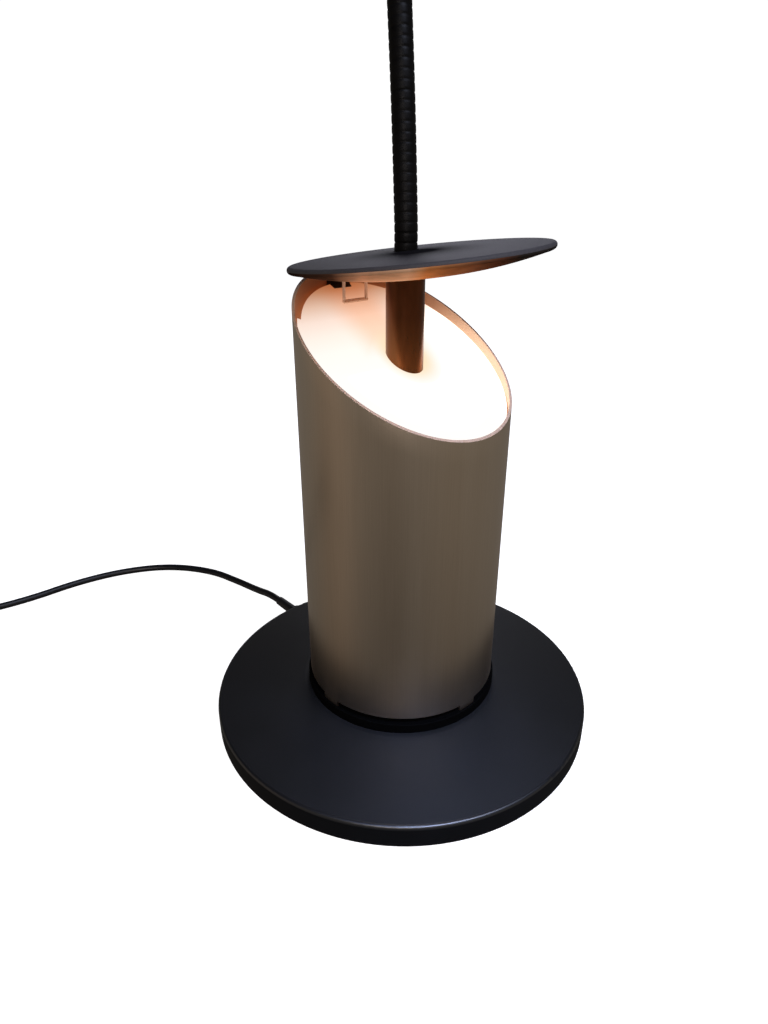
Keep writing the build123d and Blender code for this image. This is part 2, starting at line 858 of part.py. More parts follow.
# cord on the floor
def ground_route(points, what):
    """Tangent arcs as large as the straight runs on both sides allow, and their radii printed."""
    spots = [Vector(*point) for point in points]
    radii = []
    for before, here, after in zip(spots, spots[1:], spots[2:]):
        run = min((here - before).length, (after - here).length)
        turn = math.radians((here - before).get_angle(after - here))
        radii.append(0.45 * run / math.tan(turn / 2))
    print(what, "radii", [round(radius, 1) for radius in radii])
    return radii


def check_tube(piece, line, what):
    """Compares a tube's volume with its section times its length, and gives the length back."""
    length = sum(edge.length for edge in line.edges())
    ratio = piece.part.volume / (math.pi * cord_r**2 * length)
    print(what, "length", round(length, 1), "volume ratio", round(ratio, 4))
    return length


def along(point, heading, distance, z):
    """The point at a distance from another on the floor plan, along a heading in degrees."""
    turn = math.radians(heading)
    spot = Vector(*point)
    return (spot.X + distance * math.cos(turn), spot.Y + distance * math.sin(turn), z)


gland_end = gland_out + gland_len
switch_z = 1.3 + cord_r
lead_end = (-226.0, 316.6, switch_z)
lead_points = [
    (0.0, gland_end, gland_z),
    (0.0, gland_end + 13, gland_z),
    (-1.5, 176.0, 4.4),
    (-5.0, 202.0, cord_r),
    (-13.5, 236.0, cord_r),
    (-38.5, 270.0, cord_r),
    (-74.0, 289.5, cord_r),
    (-113.0, 297.5, cord_r),
    (-151.0, 297.0, cord_r),
    (-187.0, 303.5, cord_r),
    along(lead_end, switch_heading, -20, switch_z),
    lead_end,
]
with BuildPart() as cord_lead:
    with BuildLine() as lead_line:
        FilletPolyline(*lead_points, radius=ground_route(lead_points, "cord_lead"))
    with BuildSketch(Plane(origin=lead_line.line @ 0, z_dir=lead_line.line % 0)):
        Circle(cord_r)
    sweep()
cord_length = check_tube(cord_lead, lead_line, "cord_lead") + switch_len

# in-line switch
switch_plane = Plane(
    origin=along(lead_end, switch_heading, switch_len / 2, 0),
    x_dir=along((0, 0), switch_heading, 1, 0),
    z_dir=(0, 0, 1),
)
switch_top = switch_lower_h + switch_upper_h
pocket_l = rocker_l + 2.0
pocket_w = rocker_w + 1.0
rocker_axis_z = switch_top - 1.0
with BuildPart() as switch_lower:
    with BuildSketch(switch_plane):
        RectangleRounded(switch_len, switch_w, switch_w / 2 - 1)
    extrude(amount=switch_lower_h)

with BuildPart() as switch_upper:
    with BuildSketch(switch_plane.offset(switch_lower_h)):
        RectangleRounded(switch_len, switch_w, switch_w / 2 - 1)
    extrude(amount=switch_upper_h)
    fillet(switch_upper.faces().sort_by(Axis.Z)[-1].edges(), switch_round)
    with BuildSketch(switch_plane.offset(switch_top)):
        Rectangle(pocket_l, pocket_w)
    extrude(amount=-(switch_upper_h - 2.0), mode=Mode.SUBTRACT)
    with BuildSketch(
        Plane(
            origin=switch_plane.origin + Vector(0, 0, rocker_axis_z),
            x_dir=(0, 0, 1),
            z_dir=switch_plane.y_dir,
        )
    ):
        Circle(rocker_pin_r)
    extrude(amount=pocket_w / 2 + 3.0, both=True, mode=Mode.SUBTRACT)

rocker_plane = Plane(
    origin=switch_plane.origin + Vector(0, 0, rocker_axis_z),
    x_dir=switch_plane.x_dir * math.cos(math.radians(rocker_swing))
    + Vector(0, 0, math.sin(math.radians(rocker_swing))),
    z_dir=-switch_plane.y_dir,
)
with BuildPart() as switch_rocker:
    with BuildSketch(rocker_plane):
        with BuildLine():
            half = rocker_l / 2
            Line((-half, -3.0), (half, -3.0))
            Line((half, -3.0), (half, rocker_rise))
            ThreePointArc((half, rocker_rise), (0, 0.6), (-half, rocker_rise))
            Line((-half, rocker_rise), (-half, -3.0))
        make_face()
    extrude(amount=rocker_w / 2, both=True)
    with BuildSketch(rocker_plane):
        Circle(rocker_pin_r - slide_fit)
    extrude(amount=pocket_w / 2 + 2.7, both=True)

link_start = along(lead_end, switch_heading, switch_len, switch_z)
coil_z = coil_lift + cord_r
coil_lead_in = 2 * cord_r
link_b = along(link_start, switch_heading, short_run, switch_z)
link_c = along(link_b, switch_heading + 30, long_run, coil_z)
link_d = along(link_c, switch_heading + 60, long_run, coil_z)
link_end = along(link_d, coil_heading, middle_run, coil_z)
coil_entry = along(link_end, coil_heading, coil_lead_in, coil_z)
link_points = [link_start, link_b, link_c, link_d, link_end]
with BuildPart() as cord_link:
    with BuildLine() as link_line:
        FilletPolyline(*link_points, radius=ground_route(link_points, "cord_link"))
    with BuildSketch(Plane(origin=link_line.line @ 0, z_dir=link_line.line % 0)):
        Circle(cord_r)
    sweep()
cord_length += check_tube(cord_link, link_line, "cord_link")

# the coil spirals in, climbs a layer in the half turn where it reverses, and spirals out again
coil_start_angle = coil_heading - 90
coil_centre = along(coil_entry, coil_start_angle + 180, coil_out_r, 0)


def coil_point(turn):
    """Centre of the coiled cord after so many turns."""
    half = coil_turns / 2
    radius = coil_out_r - coil_pitch * (half - abs(turn - half))
    climb = min(1.0, max(0.0, (turn - half + 0.25) / 0.5))
    climb = climb * climb * (3 - 2 * climb)
    angle = math.radians(coil_start_angle + 360 * turn)
    return Vector(
        coil_centre[0] + radius * math.cos(angle),
        coil_centre[1] + radius * math.sin(angle),
        coil_z + coil_pitch * climb,
    )


def coil_tangent(turn):
    """Heading of the coiled cord, level and square to the radius at its two ends."""
    if turn in (0, coil_turns):
        return Vector(*along((0, 0), coil_heading, 1, 0))
    return (coil_point(turn + 0.02) - coil_point(turn - 0.02)).normalized()


def biarc_joint(start, start_dir, end, end_dir):
    """The point where two arcs with equal tangent lengths meet."""
    chord = end - start
    both = start_dir + end_dir
    a = 2 * (1 - start_dir.dot(end_dir))
    b = 2 * chord.dot(both)
    c = -chord.dot(chord)
    reach = (-b + math.sqrt(b * b - 4 * a * c)) / (2 * a)
    return (start + end + (start_dir - end_dir) * reach) * 0.5


coil_steps = coil_turns * 4
with BuildPart() as cord_coil:
    with BuildLine() as coil_line:
        Line(link_end, coil_entry)
        for step in range(coil_steps):
            start = coil_point(step / 4)
            end = coil_point((step + 1) / 4)
            start_dir = coil_tangent(step / 4)
            end_dir = coil_tangent((step + 1) / 4)
            joint = biarc_joint(start, start_dir, end, end_dir)
            arc = TangentArc(start, joint, tangent=start_dir)
            TangentArc(joint, end, tangent=arc % 1)
        coil_exit = coil_point(coil_turns)
        coil_exit_end = along(coil_exit, coil_heading, coil_lead_in, coil_exit.Z)
        Line(coil_exit, coil_exit_end)
    with BuildSketch(Plane(origin=coil_line.line @ 0, z_dir=coil_line.line % 0)):
        Circle(cord_r)
    sweep()
cord_length += check_tube(cord_coil, coil_line, "cord_coil")

coil_samples = [coil_point(coil_turns * k / 1440) for k in range(1441)]
least = min(
    (coil_samples[i] - coil_samples[j]).length
    for i in range(0, 1441, 2)
    for j in range(i + 60, 1441, 2)
)
print("coil least gap to itself", round(least - 2 * cord_r, 2))

# tie round the coil's bundle
half_turns = coil_turns / 2
bundle_mid_r = coil_out_r - coil_pitch * half_turns / 2
bundle_w = coil_pitch * half_turns + 2 * cord_r
bundle_h = coil_pitch + 2 * cord_r
tie_angle = coil_start_angle + 180
tie_place = along(coil_centre, tie_angle, bundle_mid_r, coil_z + coil_pitch / 2)
tie_plane = Plane(
    origin=tie_place,
    x_dir=along((0, 0), tie_angle, 1, 0),
    z_dir=along((0, 0), tie_angle + 90, 1, 0),
)
with BuildPart() as coil_tie:
    with BuildSketch(tie_plane):
        RectangleRounded(
            bundle_w + 2 * (tie_play + tie_t), bundle_h + 2 * (tie_play + tie_t), cord_r + tie_t
        )
        RectangleRounded(bundle_w + 2 * tie_play, bundle_h + 2 * tie_play, cord_r, mode=Mode.SUBTRACT)
    extrude(amount=tie_w / 2, both=True)

plug_z = plug_h / 2
tail_b = along(coil_exit_end, coil_heading, 14, coil_exit.Z)
tail_c = along(tail_b, coil_heading + 8, middle_run, 6.0)
tail_d = along(tail_c, coil_heading + 20, long_run, 3.6)
tail_e = along(tail_d, coil_heading + 34, long_run, plug_z)
tail_points = [
    tuple(coil_exit_end),
    tail_b,
    tail_c,
    tail_d,
    tail_e,
    along(tail_e, coil_heading + 40, short_run, plug_z),
]
plug_dir = Vector(*tail_points[-1]) - Vector(*tail_points[-2])
plug_dir = plug_dir.normalized()
with BuildPart() as cord_tail:
    with BuildLine() as tail_line:
        FilletPolyline(*tail_points, radius=ground_route(tail_points, "cord_tail"))
    with BuildSketch(Plane(origin=tail_line.line @ 0, z_dir=tail_line.line % 0)):
        Circle(cord_r)
    sweep()
cord_length += check_tube(cord_tail, tail_line, "cord_tail")

# two-pin plug
plug_plane = Plane(origin=tail_points[-1], x_dir=(-plug_dir.Y, plug_dir.X, 0), z_dir=plug_dir)
with BuildPart() as plug_relief:
    with BuildSketch(plug_plane):
        Circle(cord_r + 0.6)
    with BuildSketch(plug_plane.offset(relief_len)):
        Circle(relief_r)
    loft()

with BuildPart() as plug_body:
    with BuildSketch(plug_plane.offset(relief_len)):
        RectangleRounded(plug_w * 0.55, plug_h - 1, 3)
    with BuildSketch(plug_plane.offset(relief_len + plug_l * 0.6)):
        RectangleRounded(plug_w, plug_h, 3)
    with BuildSketch(plug_plane.offset(relief_len + plug_l)):
        RectangleRounded(plug_w, plug_h, 3)
    loft(ruled=True)

with BuildPart() as plug_pins:
    with BuildSketch(plug_plane.offset(relief_len + plug_l)):
        with GridLocations(plug_pin_gap, 1, 2, 1):
            Circle(plug_pin_r)
    extrude(amount=plug_pin_len)

print("free cord length", round(cord_length, 1))

# labels and files
pieces = {
    "base_shell": base_shell,
    "base_cover": base_cover,
    "base_screws": base_screws,
    "base_pad": base_pad,
    "ballast_plate": ballast_plate,
    "tube_seat": tube_seat,
    "seat_screws": seat_screws,
    "body_tube": body_tube,
    "diffuser_lugs": diffuser_lugs,
    "diffuser": diffuser,
    "diffuser_handle": diffuser_handle,
    "diffuser_catch": diffuser_catch,
    "stem": stem,
    "stem_washer": stem_washer,
    "stem_nut": stem_nut,
    "reflector_cover": reflector_cover,
    "reflector_pan": reflector_pan,
    "reflector_hub": reflector_hub,
    "neck_foot": neck_foot,
    "neck_ferrule": neck_ferrule,
    "head_cap": head_cap,
    "head_shell": head_shell,
    "head_socket": head_socket,
    "head_bulb": head_bulb,
    "head_button": head_button,
    "lampholder_bracket": lampholder_bracket,
    "lampholder": lampholder,
    "bulb": bulb,
    "cord_gland": cord_gland,
    "cord_clamp": cord_clamp,
    "terminal_block": terminal_block,
    "supply_lead": supply_lead,
    "cord_lead": cord_lead,
    "switch_lower": switch_lower,
    "switch_upper": switch_upper,
    "switch_rocker": switch_rocker,
    "cord_link": cord_link,
    "cord_coil": cord_coil,
    "coil_tie": coil_tie,
    "cord_tail": cord_tail,
    "plug_relief": plug_relief,
    "plug_body": plug_body,
    "plug_pins": plug_pins,
}
pieces.update(hoses)
for name, piece in pieces.items():
    piece.part.label = name
    export_step(piece.part, f"parts/{name}.step")
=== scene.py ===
import json
import math

import bmesh
import bpy
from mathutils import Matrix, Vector

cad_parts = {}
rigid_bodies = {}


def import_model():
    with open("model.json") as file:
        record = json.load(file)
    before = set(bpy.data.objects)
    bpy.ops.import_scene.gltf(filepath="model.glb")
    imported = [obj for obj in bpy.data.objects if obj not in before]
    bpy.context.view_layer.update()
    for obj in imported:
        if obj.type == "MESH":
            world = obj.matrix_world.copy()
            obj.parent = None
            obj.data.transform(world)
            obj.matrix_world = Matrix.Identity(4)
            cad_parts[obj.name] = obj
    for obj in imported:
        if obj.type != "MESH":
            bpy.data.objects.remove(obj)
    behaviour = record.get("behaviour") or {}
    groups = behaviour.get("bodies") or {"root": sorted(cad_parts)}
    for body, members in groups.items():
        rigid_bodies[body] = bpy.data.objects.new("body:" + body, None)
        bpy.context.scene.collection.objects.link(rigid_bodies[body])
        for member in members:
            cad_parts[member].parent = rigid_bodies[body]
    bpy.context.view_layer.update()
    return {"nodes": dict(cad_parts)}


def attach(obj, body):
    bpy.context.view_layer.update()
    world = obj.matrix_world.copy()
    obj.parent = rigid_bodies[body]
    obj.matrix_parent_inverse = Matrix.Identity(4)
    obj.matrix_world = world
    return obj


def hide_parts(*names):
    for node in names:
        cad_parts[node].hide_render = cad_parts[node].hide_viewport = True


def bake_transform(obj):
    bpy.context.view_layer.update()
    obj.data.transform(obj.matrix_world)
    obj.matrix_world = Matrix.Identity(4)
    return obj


for leftover in list(bpy.data.objects):
    bpy.data.objects.remove(leftover)
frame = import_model()

MM = 0.001

# sizes of the base and the tube, as in the CAD source
BASE_R = 122 * MM
RIM_TOP = 15.2 * MM
SEAT_TOP = 29.5 * MM
TUBE_R = 60 * MM
TUBE_WALL = 1.5 * MM
TUBE_IN_R = TUBE_R - TUBE_WALL
TUBE_AIR_GAP = 3.5 * MM
TAB_WIDTH = 12.6 * MM
TAB_DEPTH = 4 * MM
CUT_AXIS_Z = 240.6 * MM
CUT_SLOPE = 0.62


# Small helpers


def colour(code):
    """An sRGB hex colour as linear values."""
    parts = [int(code[i : i + 2], 16) / 255 for i in (1, 3, 5)]
    return (*(p / 12.92 if p <= 0.04045 else ((p + 0.055) / 1.055) ** 2.4 for p in parts), 1.0)


def add(tree, kind, inputs=(), stops=(), **settings):
    """A new node; each input is a socket with a value, or with the output that feeds it.

    The stops of a colour ramp are positions with linear colours.
    """
    node = tree.nodes.new(kind)
    for name, value in settings.items():
        setattr(node, name, value)
    for socket, value in inputs:
        if isinstance(value, bpy.types.NodeSocket):
            tree.links.new(value, node.inputs[socket])
        else:
            node.inputs[socket].default_value = value
    for k, (at, tone) in enumerate(stops):
        bar = node.color_ramp.elements
        stop = bar[k] if k < 2 else bar.new(at)
        stop.position = at
        stop.color = (*tone[:3], 1)
    return node


def placed(name, data):
    """A new object at the origin that holds the data."""
    made = bpy.data.objects.new(name, data)
    bpy.context.scene.collection.objects.link(made)
    return made


def frozen(piece):
    """The evaluated shape as a new piece of the same name, with no modifier left."""
    shape = bpy.data.meshes.new_from_object(
        piece.evaluated_get(bpy.context.evaluated_depsgraph_get())
    )
    name = piece.name
    bpy.data.objects.remove(piece)
    return placed(name, shape)


def aimed(thing, place, heading):
    """Puts a camera or a lamp at a place and turns it along a heading."""
    thing.location = place
    thing.rotation_mode = "QUATERNION"
    thing.rotation_quaternion = Vector(heading).to_track_quat("-Z", "Y")


def finish(name, base, roughness, metallic=0.0, specular=0.5):
    """A new material with its tree and its shader, which has these plain values."""
    material = bpy.data.materials.new(name)
    material.use_nodes = True
    tree = material.node_tree
    shader = tree.nodes["Principled BSDF"]
    shader.inputs["Base Color"].default_value = colour(base)
    shader.inputs["Roughness"].default_value = roughness
    shader.inputs["Metallic"].default_value = metallic
    shader.inputs["Specular IOR Level"].default_value = specular
    return material, tree, shader


def glowing(shader, tint, strength):
    """Gives a shader its own light."""
    shader.inputs["Emission Color"].default_value = colour(tint)
    shader.inputs["Emission Strength"].default_value = strength


def mottle(tree, shader, tones, patch_mm, rough, bump_mm=0.0, stretch=(1, 1, 1)):
    """Patches of a real size that vary the colour and the roughness; both outputs come back."""
    where = add(tree, "ShaderNodeTexCoord").outputs["Object"]
    place = add(tree, "ShaderNodeMapping", [(0, where), ("Scale", stretch)])
    patches = add(
        tree,
        "ShaderNodeTexNoise",
        [("Vector", place.outputs[0]), ("Scale", 1 / (patch_mm * MM)), ("Detail", 5.0)],
    ).outputs["Fac"]
    tone = add(
        tree,
        "ShaderNodeValToRGB",
        [(0, patches)],
        stops=[(0.32, colour(tones[0])), (0.68, colour(tones[1]))],
    ).outputs[0]
    tree.links.new(tone, shader.inputs["Base Color"])
    gloss = add(
        tree, "ShaderNodeMapRange", [(0, patches), (1, 0.3), (2, 0.7), (3, rough[0]), (4, rough[1])]
    ).outputs[0]
    tree.links.new(gloss, shader.inputs["Roughness"])
    if bump_mm:
        relief = add(
            tree,
            "ShaderNodeBump",
            [("Height", patches), ("Distance", bump_mm * MM), ("Strength", 0.6)],
        )
        tree.links.new(relief.outputs[0], shader.inputs["Normal"])
    return tone, gloss


def plain(name, base, roughness, metallic=0.0, specular=0.5, **mottling):
    """A material of one tone with soft mottling."""
    material, tree, shader = finish(name, base, roughness, metallic, specular)
    mottle(tree, shader, **mottling)
    return material


# Camera

camera_data = bpy.data.cameras.new("camera")
camera_data.sensor_width = 36
camera_data.lens = 24.26
camera = placed("camera", camera_data)
aimed(camera, (-0.2613, -0.2735, 0.3205), (0.6043, 0.6714, -0.4289))
bpy.context.scene.camera = camera
bpy.context.scene.view_settings.view_transform = "Standard"

# Floor: white for the camera, with no light of its own on the lamp

FLOOR_HALF = 25
FLOOR_Z = -0.4 * MM

paper, _, shader = finish("matte_white_paper", "#f4f4f4", 0.9, specular=0.1)
glowing(shader, "#ffffff", 0.98)
floor_mesh = bpy.data.meshes.new("studio_floor")
floor_corners = [
    (x * FLOOR_HALF, y * FLOOR_HALF, FLOOR_Z) for x, y in ((-1, -1), (1, -1), (1, 1), (-1, 1))
]
floor_mesh.from_pydata(floor_corners, [], [(0, 1, 2, 3)])
floor_mesh.materials.append(paper)
studio_floor = placed("studio_floor", floor_mesh)
studio_floor.visible_glossy = False
studio_floor.visible_diffuse = False

# Backdrop: a white dome that closes the view above the floor and lights nothing

backdrop_white, _, shader = finish("bright_white_backdrop", "#000000", 0.5, specular=0.0)
glowing(shader, "#ffffff", 1.05)
backdrop_mesh = bpy.data.meshes.new("white_backdrop")
dome = bmesh.new()
bmesh.ops.create_uvsphere(dome, u_segments=48, v_segments=24, radius=24)
dome.to_mesh(backdrop_mesh)
dome.free()
backdrop_mesh.materials.append(backdrop_white)
white_backdrop = placed("white_backdrop", backdrop_mesh)
for unseen in ("diffuse", "glossy", "transmission", "volume_scatter", "shadow"):
    setattr(white_backdrop, "visible_" + unseen, False)


# Room and lights


def dim_room():
    """A dim room: a dark table below, warm walls that differ round the lamp, a cool ceiling."""
    room = bpy.data.worlds.new("dim_room")
    room.use_nodes = True
    air = room.node_tree
    direction = add(air, "ShaderNodeTexCoord").outputs["Generated"]
    towards = add(air, "ShaderNodeSeparateXYZ", [(0, direction)]).outputs
    height = add(air, "ShaderNodeMapRange", [(0, towards["Z"]), (1, -1.0), (2, 1.0)])
    heading = add(
        air, "ShaderNodeMath", [(0, towards["Y"]), (1, towards["X"])], operation="ARCTAN2"
    )
    turn = add(air, "ShaderNodeMapRange", [(0, heading.outputs[0]), (1, -math.pi), (2, math.pi)])
    by_height = add(
        air,
        "ShaderNodeValToRGB",
        [(0, height.outputs[0])],
        stops=[
            (0.0, (0.03, 0.029, 0.027)),
            (0.15, (0.06, 0.058, 0.055)),
            (0.25, (0.173, 0.16, 0.144)),
            (0.48, (0.219, 0.204, 0.184)),
            (0.54, (0.229, 0.214, 0.197)),
            (0.72, (0.02, 0.022, 0.028)),
            (1.0, (0.03, 0.032, 0.04)),
        ],
    ).outputs[0]
    by_turn = add(
        air,
        "ShaderNodeValToRGB",
        [(0, turn.outputs[0])],
        stops=[
            (0.0, (0.95, 0.93, 0.92)),
            (0.11, (0.72, 0.72, 0.72)),
            (0.27, (1.15, 1.15, 1.15)),
            (0.45, (0.95, 0.95, 0.95)),
            (0.80, (0.90, 0.90, 0.90)),
            (0.93, (1.35, 1.2, 1.1)),
            (1.0, (0.95, 0.93, 0.92)),
        ],
    ).outputs[0]
    tone = add(
        air,
        "ShaderNodeMix",
        [(0, 1.0), (6, by_height), (7, by_turn)],
        data_type="RGBA",
        blend_type="MULTIPLY",
    )
    air.links.new(tone.outputs[2], air.nodes["Background"].inputs["Color"])
    return room


bpy.context.scene.world = dim_room()


def lamp_at(name, kind, place, target, power, tint):
    """A lamp at a place, turned to a target; its data comes back for the rest of its settings."""
    data = bpy.data.lights.new(name, kind)
    data.energy = power
    data.color = colour(tint)[:3]
    aimed(placed(name, data), place, Vector(target) - Vector(place))
    return data


LAMP_MIDDLE = (0, 0, 0.1)
SOFT_BOX = 0.6
for name, place, power, tint in (
    ("back_box", (0.999, 0.999, 0.851), 2.6, "#f2f2ff"),
    ("camera_side_box", (-0.999, -0.999, 0.851), 7.6, "#fff3ee"),
    ("left_front_box", (0.0, -0.8, 1.486), 14, "#d9e2ff"),
):
    lamp_at(name, "AREA", place, LAMP_MIDDLE, power, tint).size = SOFT_BOX

# a cool snooted lamp on the front of the base
snoot = lamp_at(
    "cool_snoot", "SPOT", (-0.338, -0.710, 1.344), (-0.040, -0.072, 0.02), 110, "#acc3ff"
)
snoot.spot_size = math.radians(6)
snoot.spot_blend = 1.0
snoot.shadow_soft_size = 0.06


# Materials


def satin_black_enamel():
    """Enamel on the spun base: fine orange peel, and a shine where the rolled rim is rubbed."""
    peel_mm = 1.2
    material, tree, shader = finish("satin_black_enamel", "#08090b", 0.6)
    satin = mottle(tree, shader, ("#07080a", "#0a0b0e"), 30, (0.57, 0.63))[1]
    where = add(tree, "ShaderNodeTexCoord").outputs["Object"]
    peel = add(
        tree,
        "ShaderNodeTexNoise",
        [("Vector", where), ("Scale", 1 / (peel_mm * MM)), ("Detail", 2.0)],
    )
    relief = add(
        tree,
        "ShaderNodeBump",
        [("Height", peel.outputs["Fac"]), ("Distance", 0.02 * MM), ("Strength", 0.35)],
    )
    tree.links.new(relief.outputs[0], shader.inputs["Normal"])
    flat = add(
        tree, "ShaderNodeVectorMath", [(0, where), (1, (1, 1, 0))], operation="MULTIPLY"
    )
    outward = add(tree, "ShaderNodeVectorMath", [(0, flat.outputs[0])], operation="LENGTH")
    edge = add(
        tree,
        "ShaderNodeMapRange",
        [
            (0, outward.outputs["Value"]),
            (1, BASE_R - 2.5 * MM),
            (2, BASE_R - 1.5 * MM),
        ],
    )
    spot = add(tree, "ShaderNodeSeparateXYZ", [(0, where)]).outputs
    upper = add(
        tree,
        "ShaderNodeMapRange",
        [(0, spot["Z"]), (1, RIM_TOP - 2.4 * MM), (2, RIM_TOP - 1.4 * MM)],
    ).outputs[0]
    rolled = add(
        tree, "ShaderNodeMath", [(0, edge.outputs[0]), (1, upper)], operation="MULTIPLY"
    ).outputs[0]
    rubbed = add(tree, "ShaderNodeMix", [(0, rolled), (2, satin), (3, 0.36)])
    tree.links.new(rubbed.outputs[0], shader.inputs["Roughness"])
    side_sheen = add(tree, "ShaderNodeMapRange", [(0, upper), (3, 0.2), (4, 0.5)])
    sheen = add(tree, "ShaderNodeMapRange", [(0, rolled), (3, side_sheen.outputs[0]), (4, 1.0)])
    tree.links.new(sheen.outputs[0], shader.inputs["Specular IOR Level"])
    return material


def brushed_aluminium(name, turn=(0, 0, 0)):
    """Champagne anodised aluminium with hair lines along Z, once the piece is turned upright.

    Real brushing is finer; the hair lines are drawn as coarse as they need to be to show.
    """
    hair_mm, hair_run_mm = 0.4, 50
    band_mm, band_run_mm = 28, 600
    material, tree, shader = finish(name, "#cdb89f", 0.33, 1.0)
    where = add(tree, "ShaderNodeTexCoord").outputs["Object"]
    upright = add(tree, "ShaderNodeMapping", [(0, where), ("Rotation", turn)]).outputs[0]
    hair_scale = (1 / (hair_mm * MM), 1 / (hair_mm * MM), 1 / (hair_run_mm * MM))
    hair_place = add(tree, "ShaderNodeMapping", [(0, upright), ("Scale", hair_scale)])
    hairs = add(
        tree,
        "ShaderNodeTexNoise",
        [("Vector", hair_place.outputs[0]), ("Scale", 1.0), ("Detail", 4.0), ("Roughness", 0.7)],
    ).outputs["Fac"]
    band_scale = (1 / (band_mm * MM), 1 / (band_mm * MM), 1 / (band_run_mm * MM))
    band_place = add(tree, "ShaderNodeMapping", [(0, upright), ("Scale", band_scale)])
    bands = add(
        tree, "ShaderNodeTexNoise", [("Vector", band_place.outputs[0]), ("Scale", 1.0)]
    ).outputs["Fac"]
    metal = add(
        tree,
        "ShaderNodeValToRGB",
        [(0, hairs)],
        stops=[(0.3, colour("#cfbea9")), (0.7, colour("#d8c7b2"))],
    )
    tint = add(
        tree,
        "ShaderNodeValToRGB",
        [(0, bands)],
        stops=[(0.35, colour("#ded4c8")), (0.65, colour("#ffffff"))],
    )
    tone = add(
        tree,
        "ShaderNodeMix",
        [(0, 0.35), (6, metal.outputs[0]), (7, tint.outputs[0])],
        data_type="RGBA",
        blend_type="MULTIPLY",
    )
    tree.links.new(tone.outputs[2], shader.inputs["Base Color"])
    gloss = add(tree, "ShaderNodeMapRange", [(0, hairs), (3, 0.29), (4, 0.37)])
    tree.links.new(gloss.outputs[0], shader.inputs["Roughness"])
    scratches = add(
        tree, "ShaderNodeBump", [("Height", hairs), ("Distance", 0.004 * MM), ("Strength", 0.35)]
    )
    tree.links.new(scratches.outputs[0], shader.inputs["Normal"])
    return material


